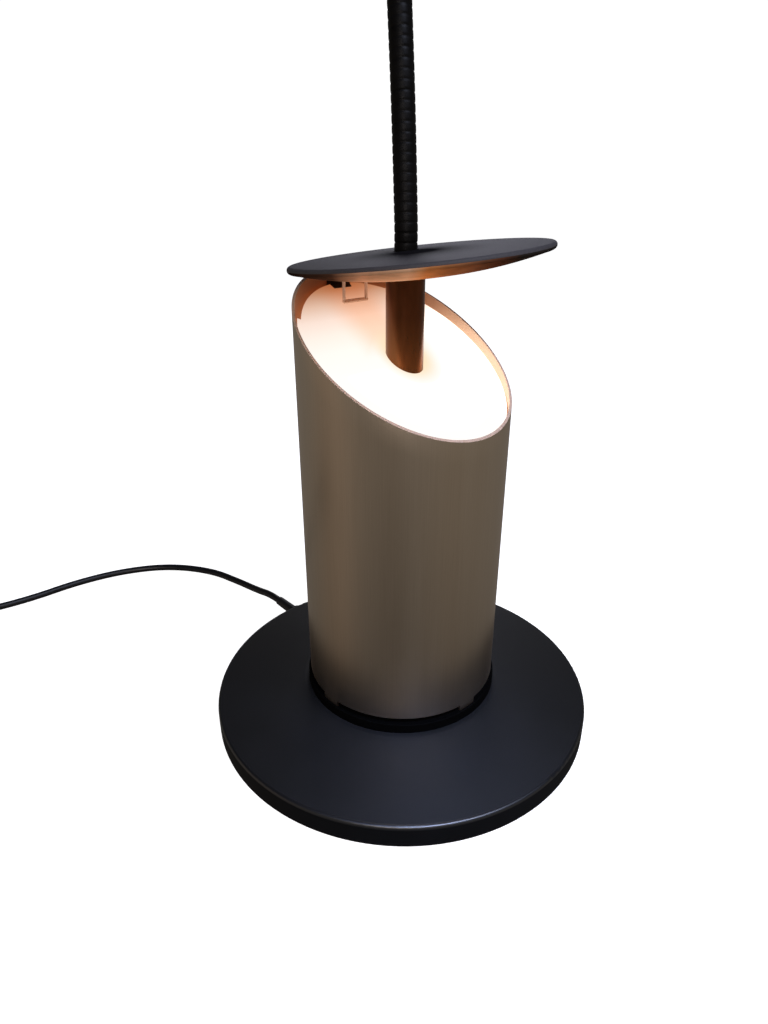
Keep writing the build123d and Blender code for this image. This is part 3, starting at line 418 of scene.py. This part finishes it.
def lit_opal_acrylic():
    """The sheet over the bulb: white in front, peach and then amber towards the back.

    The stem stands between the bulb and the back, so the sheet is warmer in a ring round it and in
    a wedge behind it. An area in front glows stronger than white and lights what stands over it.
    """
    material, tree, shader = finish("lit_opal_acrylic", "#3a332c", 0.35)
    where = add(tree, "ShaderNodeTexCoord").outputs["Object"]
    spot = add(tree, "ShaderNodeSeparateXYZ", [(0, where)]).outputs
    back = add(
        tree, "ShaderNodeMapRange", [(0, spot["Y"]), (1, -18 * MM), (2, 56 * MM)]
    ).outputs[0]
    glow = add(
        tree,
        "ShaderNodeValToRGB",
        [(0, back)],
        stops=[
            (0.0, colour("#fffdf9")),
            (0.20, colour("#fffdf9")),
            (0.39, colour("#fffaf3")),
            (0.53, colour("#fcf1e6")),
            (0.66, colour("#f9e2d4")),
            (0.79, colour("#e3bea7")),
            (0.92, colour("#be8562")),
            (1.0, colour("#a8683f")),
        ],
    ).outputs[0]

    # how far a point is from the middle of the glow, on plan, just beside the stem
    from_stem = add(
        tree,
        "ShaderNodeVectorMath",
        [(0, where), (1, (1, 1, 0)), (2, (-3 * MM, -2 * MM, 0))],
        operation="MULTIPLY_ADD",
    )
    reach = add(
        tree, "ShaderNodeVectorMath", [(0, from_stem.outputs[0])], operation="LENGTH"
    ).outputs["Value"]

    # the ring round the stem and the wedge behind it
    off_ring = add(
        tree,
        "ShaderNodeMapRange",
        [(0, reach), (1, 9 * MM), (2, 21 * MM)],
        interpolation_type="SMOOTHSTEP",
    )
    sideways = add(tree, "ShaderNodeMath", [(0, spot["X"])], operation="ABSOLUTE")
    aside = add(
        tree,
        "ShaderNodeMapRange",
        [(0, sideways.outputs[0]), (1, 4 * MM), (2, 27 * MM)],
        interpolation_type="SMOOTHSTEP",
    )
    in_front = add(
        tree,
        "ShaderNodeMapRange",
        [(0, spot["Y"]), (1, 2 * MM), (2, 20 * MM), (3, 1.0), (4, 0.0)],
        interpolation_type="SMOOTHSTEP",
    )
    off_wedge = add(
        tree,
        "ShaderNodeMath",
        [(0, aside.outputs[0]), (1, in_front.outputs[0])],
        operation="MAXIMUM",
    )
    wedge_tint = add(
        tree,
        "ShaderNodeMix",
        [(0, off_wedge.outputs[0]), (6, colour("#ffe4d2")), (7, colour("#ffffff"))],
        data_type="RGBA",
    )
    tint = add(
        tree,
        "ShaderNodeMix",
        [(0, off_ring.outputs[0]), (6, colour("#ffe6c6")), (7, wedge_tint.outputs[2])],
        data_type="RGBA",
    )
    lit = add(
        tree,
        "ShaderNodeMix",
        [(0, 1.0), (6, glow), (7, tint.outputs[2])],
        data_type="RGBA",
        blend_type="MULTIPLY",
    )

    # the strong area over the bulb, clear of the stem and of the wall
    near_bulb = add(
        tree, "ShaderNodeMapRange", [(0, back), (1, 0.0), (2, 0.2), (3, 1.0), (4, 0.0)]
    )
    off_wall = add(
        tree,
        "ShaderNodeMapRange",
        [(0, reach), (1, 50 * MM), (2, 34 * MM)],
        interpolation_type="SMOOTHSTEP",
    )
    off_stem = add(
        tree,
        "ShaderNodeMapRange",
        [(0, reach), (1, 19 * MM), (2, 30 * MM)],
        interpolation_type="SMOOTHSTEP",
    )
    clear = add(
        tree,
        "ShaderNodeMath",
        [(0, off_stem.outputs[0]), (1, off_wall.outputs[0])],
        operation="MULTIPLY",
    )
    hot = add(
        tree,
        "ShaderNodeMath",
        [(0, near_bulb.outputs[0]), (1, clear.outputs[0])],
        operation="MULTIPLY",
    ).outputs[0]

    # a fuller white towards the front right
    to_right = add(
        tree,
        "ShaderNodeMapRange",
        [(0, spot["X"]), (1, 22 * MM), (2, 45 * MM), (3, 0.0), (4, 1.2)],
        interpolation_type="SMOOTHSTEP",
    )
    to_front = add(
        tree,
        "ShaderNodeMapRange",
        [(0, spot["Y"]), (1, 40 * MM), (2, 10 * MM)],
        interpolation_type="SMOOTHSTEP",
    )
    white = add(
        tree,
        "ShaderNodeMath",
        [(0, to_right.outputs[0]), (1, to_front.outputs[0]), (2, 1.02)],
        operation="MULTIPLY_ADD",
    )
    power = add(tree, "ShaderNodeMapRange", [(0, hot), (3, white.outputs[0]), (4, 5.0)])
    warmed = add(
        tree,
        "ShaderNodeMix",
        [(0, hot), (6, lit.outputs[2]), (7, colour("#ffb57e"))],
        data_type="RGBA",
    )
    tree.links.new(warmed.outputs[2], shader.inputs["Emission Color"])
    tree.links.new(power.outputs[0], shader.inputs["Emission Strength"])
    return material


def matte_black_powder_coat():
    """Powder coat on the disc, with a painted shadow and reflection of the neck: darker round its
    foot.

    Its tooth is drawn 1 mm wide, coarser than the real one, so that it shows.
    """
    material, tree, shader = finish("matte_black_powder_coat", "#434144", 0.66, specular=0.35)
    coat = mottle(tree, shader, ("#403e41", "#494749"), 1.0, (0.6, 0.72), 0.03)[0]
    where = add(tree, "ShaderNodeTexCoord").outputs["Object"]
    # painted shadow and reflection of the neck: the coat is darker and less glossy round the neck's
    # foot
    from_neck_shade = add(
        tree,
        "ShaderNodeMapping",
        [(0, where), ("Location", (8 * MM, 15 * MM, 0)), ("Scale", (1, 1, 0))],
    )
    reach = add(tree, "ShaderNodeVectorMath", [(0, from_neck_shade.outputs[0])], operation="LENGTH")
    out_of_neck_shade = add(
        tree,
        "ShaderNodeMapRange",
        [(0, reach.outputs["Value"]), (1, 10 * MM), (2, 42 * MM)],
        interpolation_type="SMOOTHSTEP",
    ).outputs[0]
    tone = add(
        tree,
        "ShaderNodeMix",
        [(0, out_of_neck_shade), (6, colour("#1b1a1c")), (7, coat)],
        data_type="RGBA",
    )
    tree.links.new(tone.outputs[2], shader.inputs["Base Color"])
    sheen = add(tree, "ShaderNodeMapRange", [(0, out_of_neck_shade), (3, 0.0), (4, 0.35)])
    tree.links.new(sheen.outputs[0], shader.inputs["Specular IOR Level"])
    return material


def lacquer_with_painted_glow():
    """Lacquer under the disc with painted light from the glowing sheet: bright beside the stem,
    darker out to both sides.
    """
    across_view = (0.743, -0.669, 0)
    material, tree, shader = finish("lacquer_with_painted_glow", "#95684a", 0.7, specular=0.0)
    flecks = mottle(tree, shader, ("#d8d8d8", "#ffffff"), 12, (0.66, 0.74))[0]
    where = add(tree, "ShaderNodeTexCoord").outputs["Object"]
    sideways = add(
        tree, "ShaderNodeVectorMath", [(0, where), (1, across_view)], operation="DOT_PRODUCT"
    )
    glow_across = add(
        tree, "ShaderNodeMapRange", [(0, sideways.outputs["Value"]), (1, -60 * MM), (2, 50 * MM)]
    )
    # painted light: the sheet's glow reflected under the disc, brightest beside the stem and
    # falling off to both sides
    painted_glow_pan = add(
        tree,
        "ShaderNodeValToRGB",
        [(0, glow_across.outputs[0])],
        stops=[
            (0.0, colour("#271d19")),
            (0.23, colour("#654535")),
            (0.36, colour("#f9bc95")),
            (0.54, colour("#ffcea6")),
            (0.61, colour("#ef9e5f")),
            (0.70, colour("#bc7c50")),
            (0.80, colour("#906145")),
            (0.89, colour("#6c4330")),
            (1.0, colour("#35302c")),
        ],
    ).outputs[0]
    tone = add(
        tree,
        "ShaderNodeMix",
        [(0, 1.0), (6, painted_glow_pan), (7, flecks)],
        data_type="RGBA",
        blend_type="MULTIPLY",
    )
    tree.links.new(tone.outputs[2], shader.inputs["Base Color"])
    return material


def blackened_bronze():
    """Bronze of the stem, with a faint lengthwise polish, and painted light that makes it lighter
    down at the glowing sheet.
    """
    material, tree, shader = finish("blackened_bronze", "#5f351b", 0.3, 0.85)
    dark = mottle(tree, shader, ("#5a3218", "#66391e"), 3, (0.27, 0.34), 0.01, (1, 1, 0.2))[0]
    where = add(tree, "ShaderNodeTexCoord").outputs["Object"]
    spot = add(tree, "ShaderNodeSeparateXYZ", [(0, where)]).outputs
    # painted light from the glowing sheet: lighter towards the stem's lower end
    sheet_glow_low = add(tree, "ShaderNodeMapRange", [(0, spot["Z"]), (1, 258 * MM), (2, 228 * MM)])
    tone = add(
        tree,
        "ShaderNodeMix",
        [(0, sheet_glow_low.outputs[0]), (6, dark), (7, colour("#84502a"))],
        data_type="RGBA",
    )
    tree.links.new(tone.outputs[2], shader.inputs["Base Color"])
    return material


def inner_aluminium_painted_shade():
    """The tube's inside: unbrushed, with painted shade that makes it warmer and darker towards its
    high side, away from the bulb.
    """
    material, tree, shader = finish("inner_aluminium_painted_shade", "#e2bb9c", 0.5, 0.3)
    bare = mottle(tree, shader, ("#deb696", "#e7c1a3"), 10, (0.45, 0.56))[0]
    where = add(tree, "ShaderNodeTexCoord").outputs["Object"]
    spot = add(tree, "ShaderNodeSeparateXYZ", [(0, where)]).outputs
    # painted shade: warmer and darker towards the high side, away from the bulb
    shade_to_high_side = add(tree, "ShaderNodeMapRange", [(0, spot["Y"]), (1, 0.0), (2, 55 * MM)])
    tone = add(
        tree,
        "ShaderNodeMix",
        [(0, shade_to_high_side.outputs[0]), (6, bare), (7, colour("#b67c54"))],
        data_type="RGBA",
    )
    tree.links.new(tone.outputs[2], shader.inputs["Base Color"])
    return material


enamel = satin_black_enamel()
anodised = brushed_aluminium("brushed_champagne_anodised_aluminium")
opal = lit_opal_acrylic()
powder_coat = matte_black_powder_coat()
painted_glow_pan = lacquer_with_painted_glow()
bronze = blackened_bronze()
tube_inside = inner_aluminium_painted_shade()

# matt black paint on the flexible steel hose: dull, dust in the grooves
hose_paint = plain(
    "matt_black_hose_paint",
    "#0c0b0a",
    0.46,
    specular=0.1,
    tones=("#0b0a09", "#0f0e0d"),
    patch_mm=6,
    rough=(0.4, 0.54),
    bump_mm=0.02,
)

# black PVC of the mains cord: smooth with a slight waxy sheen
pvc = plain(
    "black_pvc_cord",
    "#141416",
    0.34,
    specular=0.4,
    tones=("#121214", "#19191b"),
    patch_mm=9,
    rough=(0.3, 0.42),
    bump_mm=0.01,
)

# moulded black ABS of the switch, plug, gland and button: dull, with the grain of the mould,
# which is drawn 0.6 mm wide so that it shows
abs_black = plain(
    "moulded_black_abs",
    "#18181a",
    0.48,
    tones=("#151517", "#1d1d1f"),
    patch_mm=0.6,
    rough=(0.42, 0.55),
    bump_mm=0.02,
)

# black stoved enamel on the head's cap and ferrule: smooth, with a soft shine
cap_enamel = plain(
    "stoved_black_enamel",
    "#151516",
    0.34,
    tones=("#131314", "#1a1a1c"),
    patch_mm=14,
    rough=(0.3, 0.4),
    bump_mm=0.01,
)

# moulded black phenolic of the ring that carries the tube, darkened to nearly pure black as painted
# shade of the gap under the tube: it gives back almost no light
ring_black = plain(
    "black_phenolic_and_gap_shade",
    "#020202",
    0.8,
    specular=0.05,
    tones=("#010101", "#030303"),
    patch_mm=2,
    rough=(0.75, 0.85),
    bump_mm=0.01,
)

# thin wire of the handle, dipped in cream nylon: pale, with a soft sheen
dipped = plain(
    "cream_nylon_coated_wire",
    "#f4d9c2",
    0.5,
    tones=("#f0d3bb", "#f7dfca"),
    patch_mm=2,
    rough=(0.44, 0.56),
)

# bare aluminium where the tube is sawn off: dull cross-grain
sawn = plain(
    "sawn_aluminium_edge",
    "#e3c6b1",
    0.6,
    specular=0.3,
    tones=("#dcbfa9", "#eacfbc"),
    patch_mm=1.5,
    rough=(0.55, 0.66),
)

# glazed steatite of the lamp holders: off-white, slightly mottled
steatite = plain(
    "glazed_white_steatite",
    "#dcd6c8",
    0.3,
    tones=("#d3ccbc", "#e4dfd3"),
    patch_mm=5,
    rough=(0.24, 0.4),
    bump_mm=0.01,
)

# frosted glass of the lit bulb: an even warm glow
frosted, tree, shader = finish("frosted_bulb_glass", "#fbf3e8", 0.45)
mottle(tree, shader, ("#f5ebdd", "#fffaf2"), 20, (0.4, 0.5))
glowing(shader, "#ffd9ae", 2.0)

# frosted glass of the unlit reading bulb: pale and milky
pearl = plain(
    "pearl_reflector_bulb",
    "#e9e4da",
    0.38,
    tones=("#e1dbcf", "#f0ece4"),
    patch_mm=16,
    rough=(0.32, 0.44),
)

# zinc-plated steel of nuts, washers, screws and the cover: grey and slightly cloudy
zinc = plain(
    "zinc_plated_steel",
    "#9a9c9e",
    0.4,
    metallic=1.0,
    tones=("#8d8f92", "#a8aaac"),
    patch_mm=4,
    rough=(0.32, 0.5),
    bump_mm=0.01,
)

# brass of the plug's pins: yellow, as it shows where its thin nickel wears off
brass = plain(
    "nickelled_brass_pins",
    "#c7a564",
    0.28,
    metallic=1.0,
    tones=("#bc9955", "#d1b074"),
    patch_mm=3,
    rough=(0.22, 0.36),
    bump_mm=0.005,
)

# grey cast iron of the ballast: dull, with the pits of sand casting
iron = plain(
    "cast_iron_ballast",
    "#4a4a49",
    0.7,
    metallic=0.8,
    tones=("#3c3c3b", "#585856"),
    patch_mm=2,
    rough=(0.6, 0.85),
    bump_mm=0.15,
)

# matt black rubber sheet under the base, with a fine grain
rubber = plain(
    "matt_black_rubber_sheet",
    "#1b1b1c",
    0.85,
    specular=0.3,
    tones=("#171718", "#212122"),
    patch_mm=0.9,
    rough=(0.8, 0.92),
    bump_mm=0.05,
)


# Mains cord, with its routes in millimetres as in the CAD source

CORD_R = 2.75 * MM
ON_FLOOR = 2.75


def cord_curve(name, points):
    """A cord that follows a route: a NURBS curve with a round bevel."""
    data = bpy.data.curves.new(name, "CURVE")
    data.dimensions = "3D"
    data.bevel_depth = CORD_R
    data.bevel_resolution = 5
    data.resolution_u = 8
    data.use_fill_caps = True
    line = data.splines.new("NURBS")
    line.points.add(len(points) - 1)
    for point, place in zip(line.points, points):
        point.co = (*(c * MM for c in place), 1)
    line.order_u = 3
    line.use_endpoint_u = True
    data.materials.append(pvc)
    return placed(name, data)


def step_from(place, heading, distance, z):
    """The place at a distance along a heading on the floor plan, at a height."""
    turn = math.radians(heading)
    return (place[0] + distance * math.cos(turn), place[1] + distance * math.sin(turn), z)


def walk(start, steps):
    """The start and the places reached from it by steps of (heading, distance, height)."""
    places = [start]
    for heading, distance, z in steps:
        places.append(step_from(places[-1], heading, distance, z))
    return places


GLAND_Z = 7.6
SWITCH_HEADING = 161
SWITCH_LENGTH = 64
SWITCH_Z = 4.05
LEAD_END = (-226.0, 316.6, SWITCH_Z)
lead_route = [
    (0.0, 146.5, GLAND_Z),
    (0.0, 159.5, GLAND_Z),
    (-1.5, 176.0, 4.4),
    (-5.0, 202.0, ON_FLOOR),
    (-13.5, 236.0, ON_FLOOR),
    (-38.5, 270.0, ON_FLOOR),
    (-74.0, 289.5, ON_FLOOR),
    (-113.0, 297.5, ON_FLOOR),
    (-151.0, 297.0, ON_FLOOR),
    (-187.0, 303.5, ON_FLOOR),
    step_from(LEAD_END, SWITCH_HEADING, -20, SWITCH_Z),
    LEAD_END,
]

COIL_HEADING = 250
COIL_Z = 3.75
COIL_PITCH = 6.1
COIL_R = 40.0
COIL_TURNS = 6
COIL_STRAIGHT = 5.5
CLIMB_TURNS = 0.5
POINTS_A_TURN = 16
switch_exit = step_from(LEAD_END, SWITCH_HEADING, SWITCH_LENGTH, SWITCH_Z)
far_route = walk(
    switch_exit,
    [
        (SWITCH_HEADING, 18, SWITCH_Z),
        (SWITCH_HEADING + 30, 26, COIL_Z),
        (SWITCH_HEADING + 60, 26, COIL_Z),
        (COIL_HEADING, 22, COIL_Z),
    ],
)

# the coil goes in from its outer turn to the middle one and out again in a second layer
coil_entry = step_from(far_route[-1], COIL_HEADING, COIL_STRAIGHT, COIL_Z)
coil_centre = step_from(coil_entry, COIL_HEADING + 90, COIL_R, 0)
half = COIL_TURNS / 2
for k in range(1, COIL_TURNS * POINTS_A_TURN):
    turn = k / POINTS_A_TURN
    radius = (COIL_R - COIL_PITCH * (half - abs(turn - half))) / math.cos(math.pi / POINTS_A_TURN)
    climb = min(1.0, max(0.0, (turn - half) / CLIMB_TURNS + 0.5))
    climb = climb * climb * (3 - 2 * climb)
    far_route.append(
        step_from(coil_centre, COIL_HEADING - 90 + 360 * turn, radius, COIL_Z + COIL_PITCH * climb)
    )
UPPER_Z = COIL_Z + COIL_PITCH
far_route += walk(
    (*coil_entry[:2], UPPER_Z),
    [
        (COIL_HEADING, COIL_STRAIGHT + 14, UPPER_Z),
        (COIL_HEADING + 8, 22, 6.0),
        (COIL_HEADING + 20, 26, 3.6),
        (COIL_HEADING + 34, 26, 7.0),
        (COIL_HEADING + 40, 18, 7.0),
    ],
)

cord_to_switch = cord_curve("cord_to_switch", lead_route)
cord_to_plug = cord_curve("cord_to_plug", far_route)
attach(cord_to_switch, "base")
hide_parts("cord_lead")
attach(cord_to_plug, "base")
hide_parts("cord_link", "cord_coil", "cord_tail")


# Tube

SEGMENTS = 240
ROWS = 14
TAB_AT = (0, 90, 180, 270)
TOO_CLOSE = 0.4
NEAR = 0.5 * MM


def slant_cut_tube():
    """The wall of the tube: a level bottom edge with tabs below it, and a slanted top."""
    bottom_z = SEAT_TOP + TUBE_AIR_GAP
    tab_z = SEAT_TOP - TAB_DEPTH
    tab_half = math.degrees(math.asin(TAB_WIDTH / 2 / TUBE_R))
    angles = {round(k * 360 / SEGMENTS, 4) for k in range(SEGMENTS)}
    for tab in TAB_AT:
        off_tab = {a: abs(abs((a - tab + 180) % 360 - 180) - tab_half) for a in angles}
        angles = {a for a in angles if off_tab[a] > TOO_CLOSE}
        angles |= {(tab - tab_half) % 360, (tab + tab_half) % 360}
    angles = sorted(angles)
    count = len(angles)
    work = bmesh.new()

    def point(k, radius, z):
        turn = math.radians(angles[k])
        return work.verts.new((radius * math.cos(turn), radius * math.sin(turn), z))

    def wall_line(k, radius):
        top = CUT_AXIS_Z + CUT_SLOPE * radius * math.sin(math.radians(angles[k]))
        rise = (top - bottom_z) / ROWS
        return [point(k, radius, bottom_z + rise * row) for row in range(ROWS + 1)]

    outer, inner = zip(*((wall_line(k, TUBE_R), wall_line(k, TUBE_IN_R)) for k in range(count)))
    feet = {}

    def foot(k, radius):
        if (k, radius) not in feet:
            feet[k, radius] = point(k, radius, tab_z)
        return feet[k, radius]

    def in_tab(k):
        middle = (angles[k] + ((angles[(k + 1) % count] - angles[k]) % 360) / 2) % 360
        return any(abs((middle - tab + 180) % 360 - 180) < tab_half for tab in TAB_AT)

    for k in range(count):
        n = (k + 1) % count
        for row in range(ROWS):
            work.faces.new((outer[k][row], outer[n][row], outer[n][row + 1], outer[k][row + 1]))
            work.faces.new((inner[n][row], inner[k][row], inner[k][row + 1], inner[n][row + 1]))
        work.faces.new((outer[k][-1], outer[n][-1], inner[n][-1], inner[k][-1]))
        if not in_tab(k):
            work.faces.new((inner[k][0], inner[n][0], outer[n][0], outer[k][0]))
            continue
        out_k, out_n = foot(k, TUBE_R), foot(n, TUBE_R)
        in_n, in_k = foot(n, TUBE_IN_R), foot(k, TUBE_IN_R)
        work.faces.new((out_k, out_n, outer[n][0], outer[k][0]))
        work.faces.new((in_n, in_k, inner[k][0], inner[n][0]))
        work.faces.new((in_k, in_n, out_n, out_k))
        if not in_tab((k - 1) % count):
            work.faces.new((in_k, out_k, outer[k][0], inner[k][0]))
        if not in_tab(n):
            work.faces.new((out_n, in_n, inner[n][0], outer[n][0]))
    bmesh.ops.recalc_face_normals(work, faces=work.faces)
    mesh = bpy.data.meshes.new("champagne_tube")
    work.to_mesh(mesh)
    work.free()
    return mesh


def smooth(mesh, angle):
    """Smooth shading with the edges sharper than an angle kept crisp."""
    for face in mesh.polygons:
        face.use_smooth = True
    work = bmesh.new()
    work.from_mesh(mesh)
    for edge in work.edges:
        if len(edge.link_faces) == 2:
            edge.smooth = edge.calc_face_angle(0) < math.radians(angle)
    work.to_mesh(mesh)
    work.free()


champagne_tube = placed("champagne_tube", slant_cut_tube())
for material in (anodised, sawn, tube_inside):
    champagne_tube.data.materials.append(material)
bevel = champagne_tube.modifiers.new("broken_edges", "BEVEL")
bevel.width = 0.3 * MM
bevel.segments = 3
bevel.limit_method = "ANGLE"
bevel.angle_limit = math.radians(40)
bevel.harden_normals = False
champagne_tube = frozen(champagne_tube)
smooth(champagne_tube.data, 60)
for face in champagne_tube.data.polygons:
    x, y, z = face.center
    off_cut = abs(z - CUT_AXIS_Z - CUT_SLOPE * y)
    if off_cut < NEAR and face.normal.z > 0.2:
        face.material_index = 1
    elif math.hypot(x, y) < TUBE_IN_R + NEAR:
        face.material_index = 2
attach(champagne_tube, "base")
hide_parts("body_tube")


# Gooseneck, worked out in millimetres and degrees as in the CAD source

NECK_FOOT_Z = 284.7
NECK_HEADING = math.radians(239.8)
NECK_BENDS = [(12.0, 0.0), (6.0, -8.0), (95.0, -6.0), (90.0, 24.0), (146.5, 126.0)]
RIB_PITCH = 4.5
LOWER_RIBS, MIDDLE_RIBS, UPPER_RIBS = 17, 13, 49
POINTS_A_RIB = 4


def neck_at(length_up):
    """Place and direction of the neck's centre line, at a length up from its foot."""
    out, up, lean, left = 0.0, NECK_FOOT_Z, 0.0, length_up
    for length, turn in NECK_BENDS:
        step = min(length, left)
        bend = math.radians(turn) * step / length
        if abs(bend) < 1e-9:
            out += step * math.sin(lean)
            up += step * math.cos(lean)
        else:
            radius = step / bend
            out += radius * (math.cos(lean) - math.cos(lean + bend))
            up += radius * (math.sin(lean + bend) - math.sin(lean))
            lean += bend
        left -= step
        if left <= 1e-9:
            break
    out += left * math.sin(lean)
    up += left * math.cos(lean)
    c, s = math.cos(NECK_HEADING), math.sin(NECK_HEADING)
    return (
        Vector((c * out, s * out, up)) * MM,
        Vector((c * math.sin(lean), s * math.sin(lean), math.cos(lean))),
    )


def ribbed_hose_tree():
    """Sweeps a round section along a line and presses a groove between each two ribs."""
    tree = bpy.data.node_groups.new("ribbed_hose", "GeometryNodeTree")
    face = tree.interface
    face.new_socket("Line", in_out="INPUT", socket_type="NodeSocketGeometry")
    for label, kind, value in (
        ("Crest radius", "NodeSocketFloat", 6.03 * MM),
        ("Groove depth", "NodeSocketFloat", 0.4 * MM),
        ("Rib pitch", "NodeSocketFloat", RIB_PITCH * MM),
        ("Groove sharpness", "NodeSocketFloat", 5.0),
        ("Sides", "NodeSocketInt", 36),
        ("Steps a rib", "NodeSocketInt", 10),
    ):
        face.new_socket(label, in_out="INPUT", socket_type=kind).default_value = value
    face.new_socket("Finish", in_out="INPUT", socket_type="NodeSocketMaterial")
    face.new_socket("Hose", in_out="OUTPUT", socket_type="NodeSocketGeometry")
    given = add(tree, "NodeGroupInput").outputs
    step = add(
        tree,
        "ShaderNodeMath",
        [(0, given["Rib pitch"]), (1, given["Steps a rib"])],
        operation="DIVIDE",
    )
    line = add(
        tree,
        "GeometryNodeResampleCurve",
        [("Curve", given["Line"]), ("Length", step.outputs[0])],
        mode="LENGTH",
    )
    along = add(tree, "GeometryNodeSplineParameter")
    rib = add(
        tree,
        "ShaderNodeMath",
        [(0, along.outputs["Length"]), (1, given["Rib pitch"])],
        operation="DIVIDE",
    )
    inside = add(tree, "ShaderNodeMath", [(0, rib.outputs[0])], operation="FRACT")
    middle = add(tree, "ShaderNodeMath", [(0, inside.outputs[0]), (1, 0.5)], operation="SUBTRACT")
    away = add(tree, "ShaderNodeMath", [(0, middle.outputs[0])], operation="ABSOLUTE")
    twice = add(tree, "ShaderNodeMath", [(0, away.outputs[0]), (1, 2.0)], operation="MULTIPLY")
    groove = add(
        tree,
        "ShaderNodeMath",
        [(0, twice.outputs[0]), (1, given["Groove sharpness"])],
        operation="POWER",
    )
    depth = add(
        tree,
        "ShaderNodeMath",
        [(0, groove.outputs[0]), (1, given["Groove depth"])],
        operation="MULTIPLY",
    )
    radius = add(
        tree,
        "ShaderNodeMath",
        [(0, given["Crest radius"]), (1, depth.outputs[0])],
        operation="SUBTRACT",
    )
    section = add(
        tree, "GeometryNodeCurvePrimitiveCircle", [("Resolution", given["Sides"]), ("Radius", 1.0)]
    )
    swept = add(
        tree,
        "GeometryNodeCurveToMesh",
        [
            ("Curve", line.outputs[0]),
            ("Profile Curve", section.outputs[0]),
            ("Scale", radius.outputs[0]),
            ("Fill Caps", True),
        ],
    )
    soft = add(tree, "GeometryNodeSetShadeSmooth", [("Geometry", swept.outputs[0])])
    real = add(tree, "GeometryNodeRealizeInstances", [("Geometry", soft.outputs[0])])
    dressed = add(
        tree,
        "GeometryNodeSetMaterial",
        [("Geometry", real.outputs[0]), ("Material", given["Finish"])],
    )
    add(tree, "NodeGroupOutput", [(0, dressed.outputs[0])])
    return tree


hose_tree = ribbed_hose_tree()


def hose(name, first_rib, ribs):
    """A stretch of the ribbed hose from one rib to another, as a plain mesh."""
    data = bpy.data.curves.new(name, "CURVE")
    data.dimensions = "3D"
    line = data.splines.new("POLY")
    line.points.add(ribs * POINTS_A_RIB)
    for k, point in enumerate(line.points):
        point.co = (*neck_at((first_rib + k / POINTS_A_RIB) * RIB_PITCH)[0], 1)
    made = placed(name, data)
    sweep = made.modifiers.new("ribbed_hose", "NODES")
    sweep.node_group = hose_tree
    inputs = {item.name: item.identifier for item in hose_tree.interface.items_tree}
    sweep[inputs["Finish"]] = hose_paint
    return frozen(made)


first_high = LOWER_RIBS + MIDDLE_RIBS
hose_low = hose("ribbed_hose_low", 0, LOWER_RIBS)
hose_mid = hose("ribbed_hose_mid", LOWER_RIBS, MIDDLE_RIBS)
hose_high = hose("ribbed_hose_high", first_high, UPPER_RIBS)
for piece, node_name in (
    (hose_low, "gooseneck_lower"),
    (hose_mid, "gooseneck_middle"),
    (hose_high, "gooseneck_upper"),
):
    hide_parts(node_name)
neck_marks = [
    neck_at(ribs * RIB_PITCH)[0] for ribs in (0, LOWER_RIBS, first_high, first_high + UPPER_RIBS)
]
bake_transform(hose_low)
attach(hose_mid, "neck_arm")
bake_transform(hose_high)

head_axis = neck_at((first_high + UPPER_RIBS) * RIB_PITCH)[1]
anodised_head = brushed_aluminium(
    "brushed_champagne_anodised_head",
    head_axis.rotation_difference(Vector((0, 0, 1))).to_euler(),
)

# Finishes of the CAD pieces

node_finish = {
    "base_shell": enamel,
    "tube_seat": ring_black,
    "base_cover": zinc,
    "base_screws": zinc,
    "base_pad": rubber,
    "ballast_plate": iron,
    "seat_screws": zinc,
    "diffuser_lugs": zinc,
    "diffuser": opal,
    "diffuser_handle": dipped,
    "diffuser_catch": abs_black,
    "stem": bronze,
    "stem_washer": zinc,
    "stem_nut": zinc,
    "reflector_cover": powder_coat,
    "reflector_pan": painted_glow_pan,
    "reflector_hub": bronze,
    "neck_foot": bronze,
    "neck_ferrule": cap_enamel,
    "head_cap": cap_enamel,
    "head_shell": anodised_head,
    "head_socket": steatite,
    "head_bulb": pearl,
    "head_button": abs_black,
    "lampholder_bracket": zinc,
    "lampholder": steatite,
    "bulb": frosted,
    "cord_gland": abs_black,
    "cord_clamp": abs_black,
    "terminal_block": steatite,
    "supply_lead": pvc,
    "switch_lower": abs_black,
    "switch_upper": abs_black,
    "switch_rocker": abs_black,
    "coil_tie": abs_black,
    "plug_relief": abs_black,
    "plug_body": abs_black,
    "plug_pins": brass,
}
for node_name, material in node_finish.items():
    for slot in frame["nodes"][node_name].material_slots:
        slot.material = material
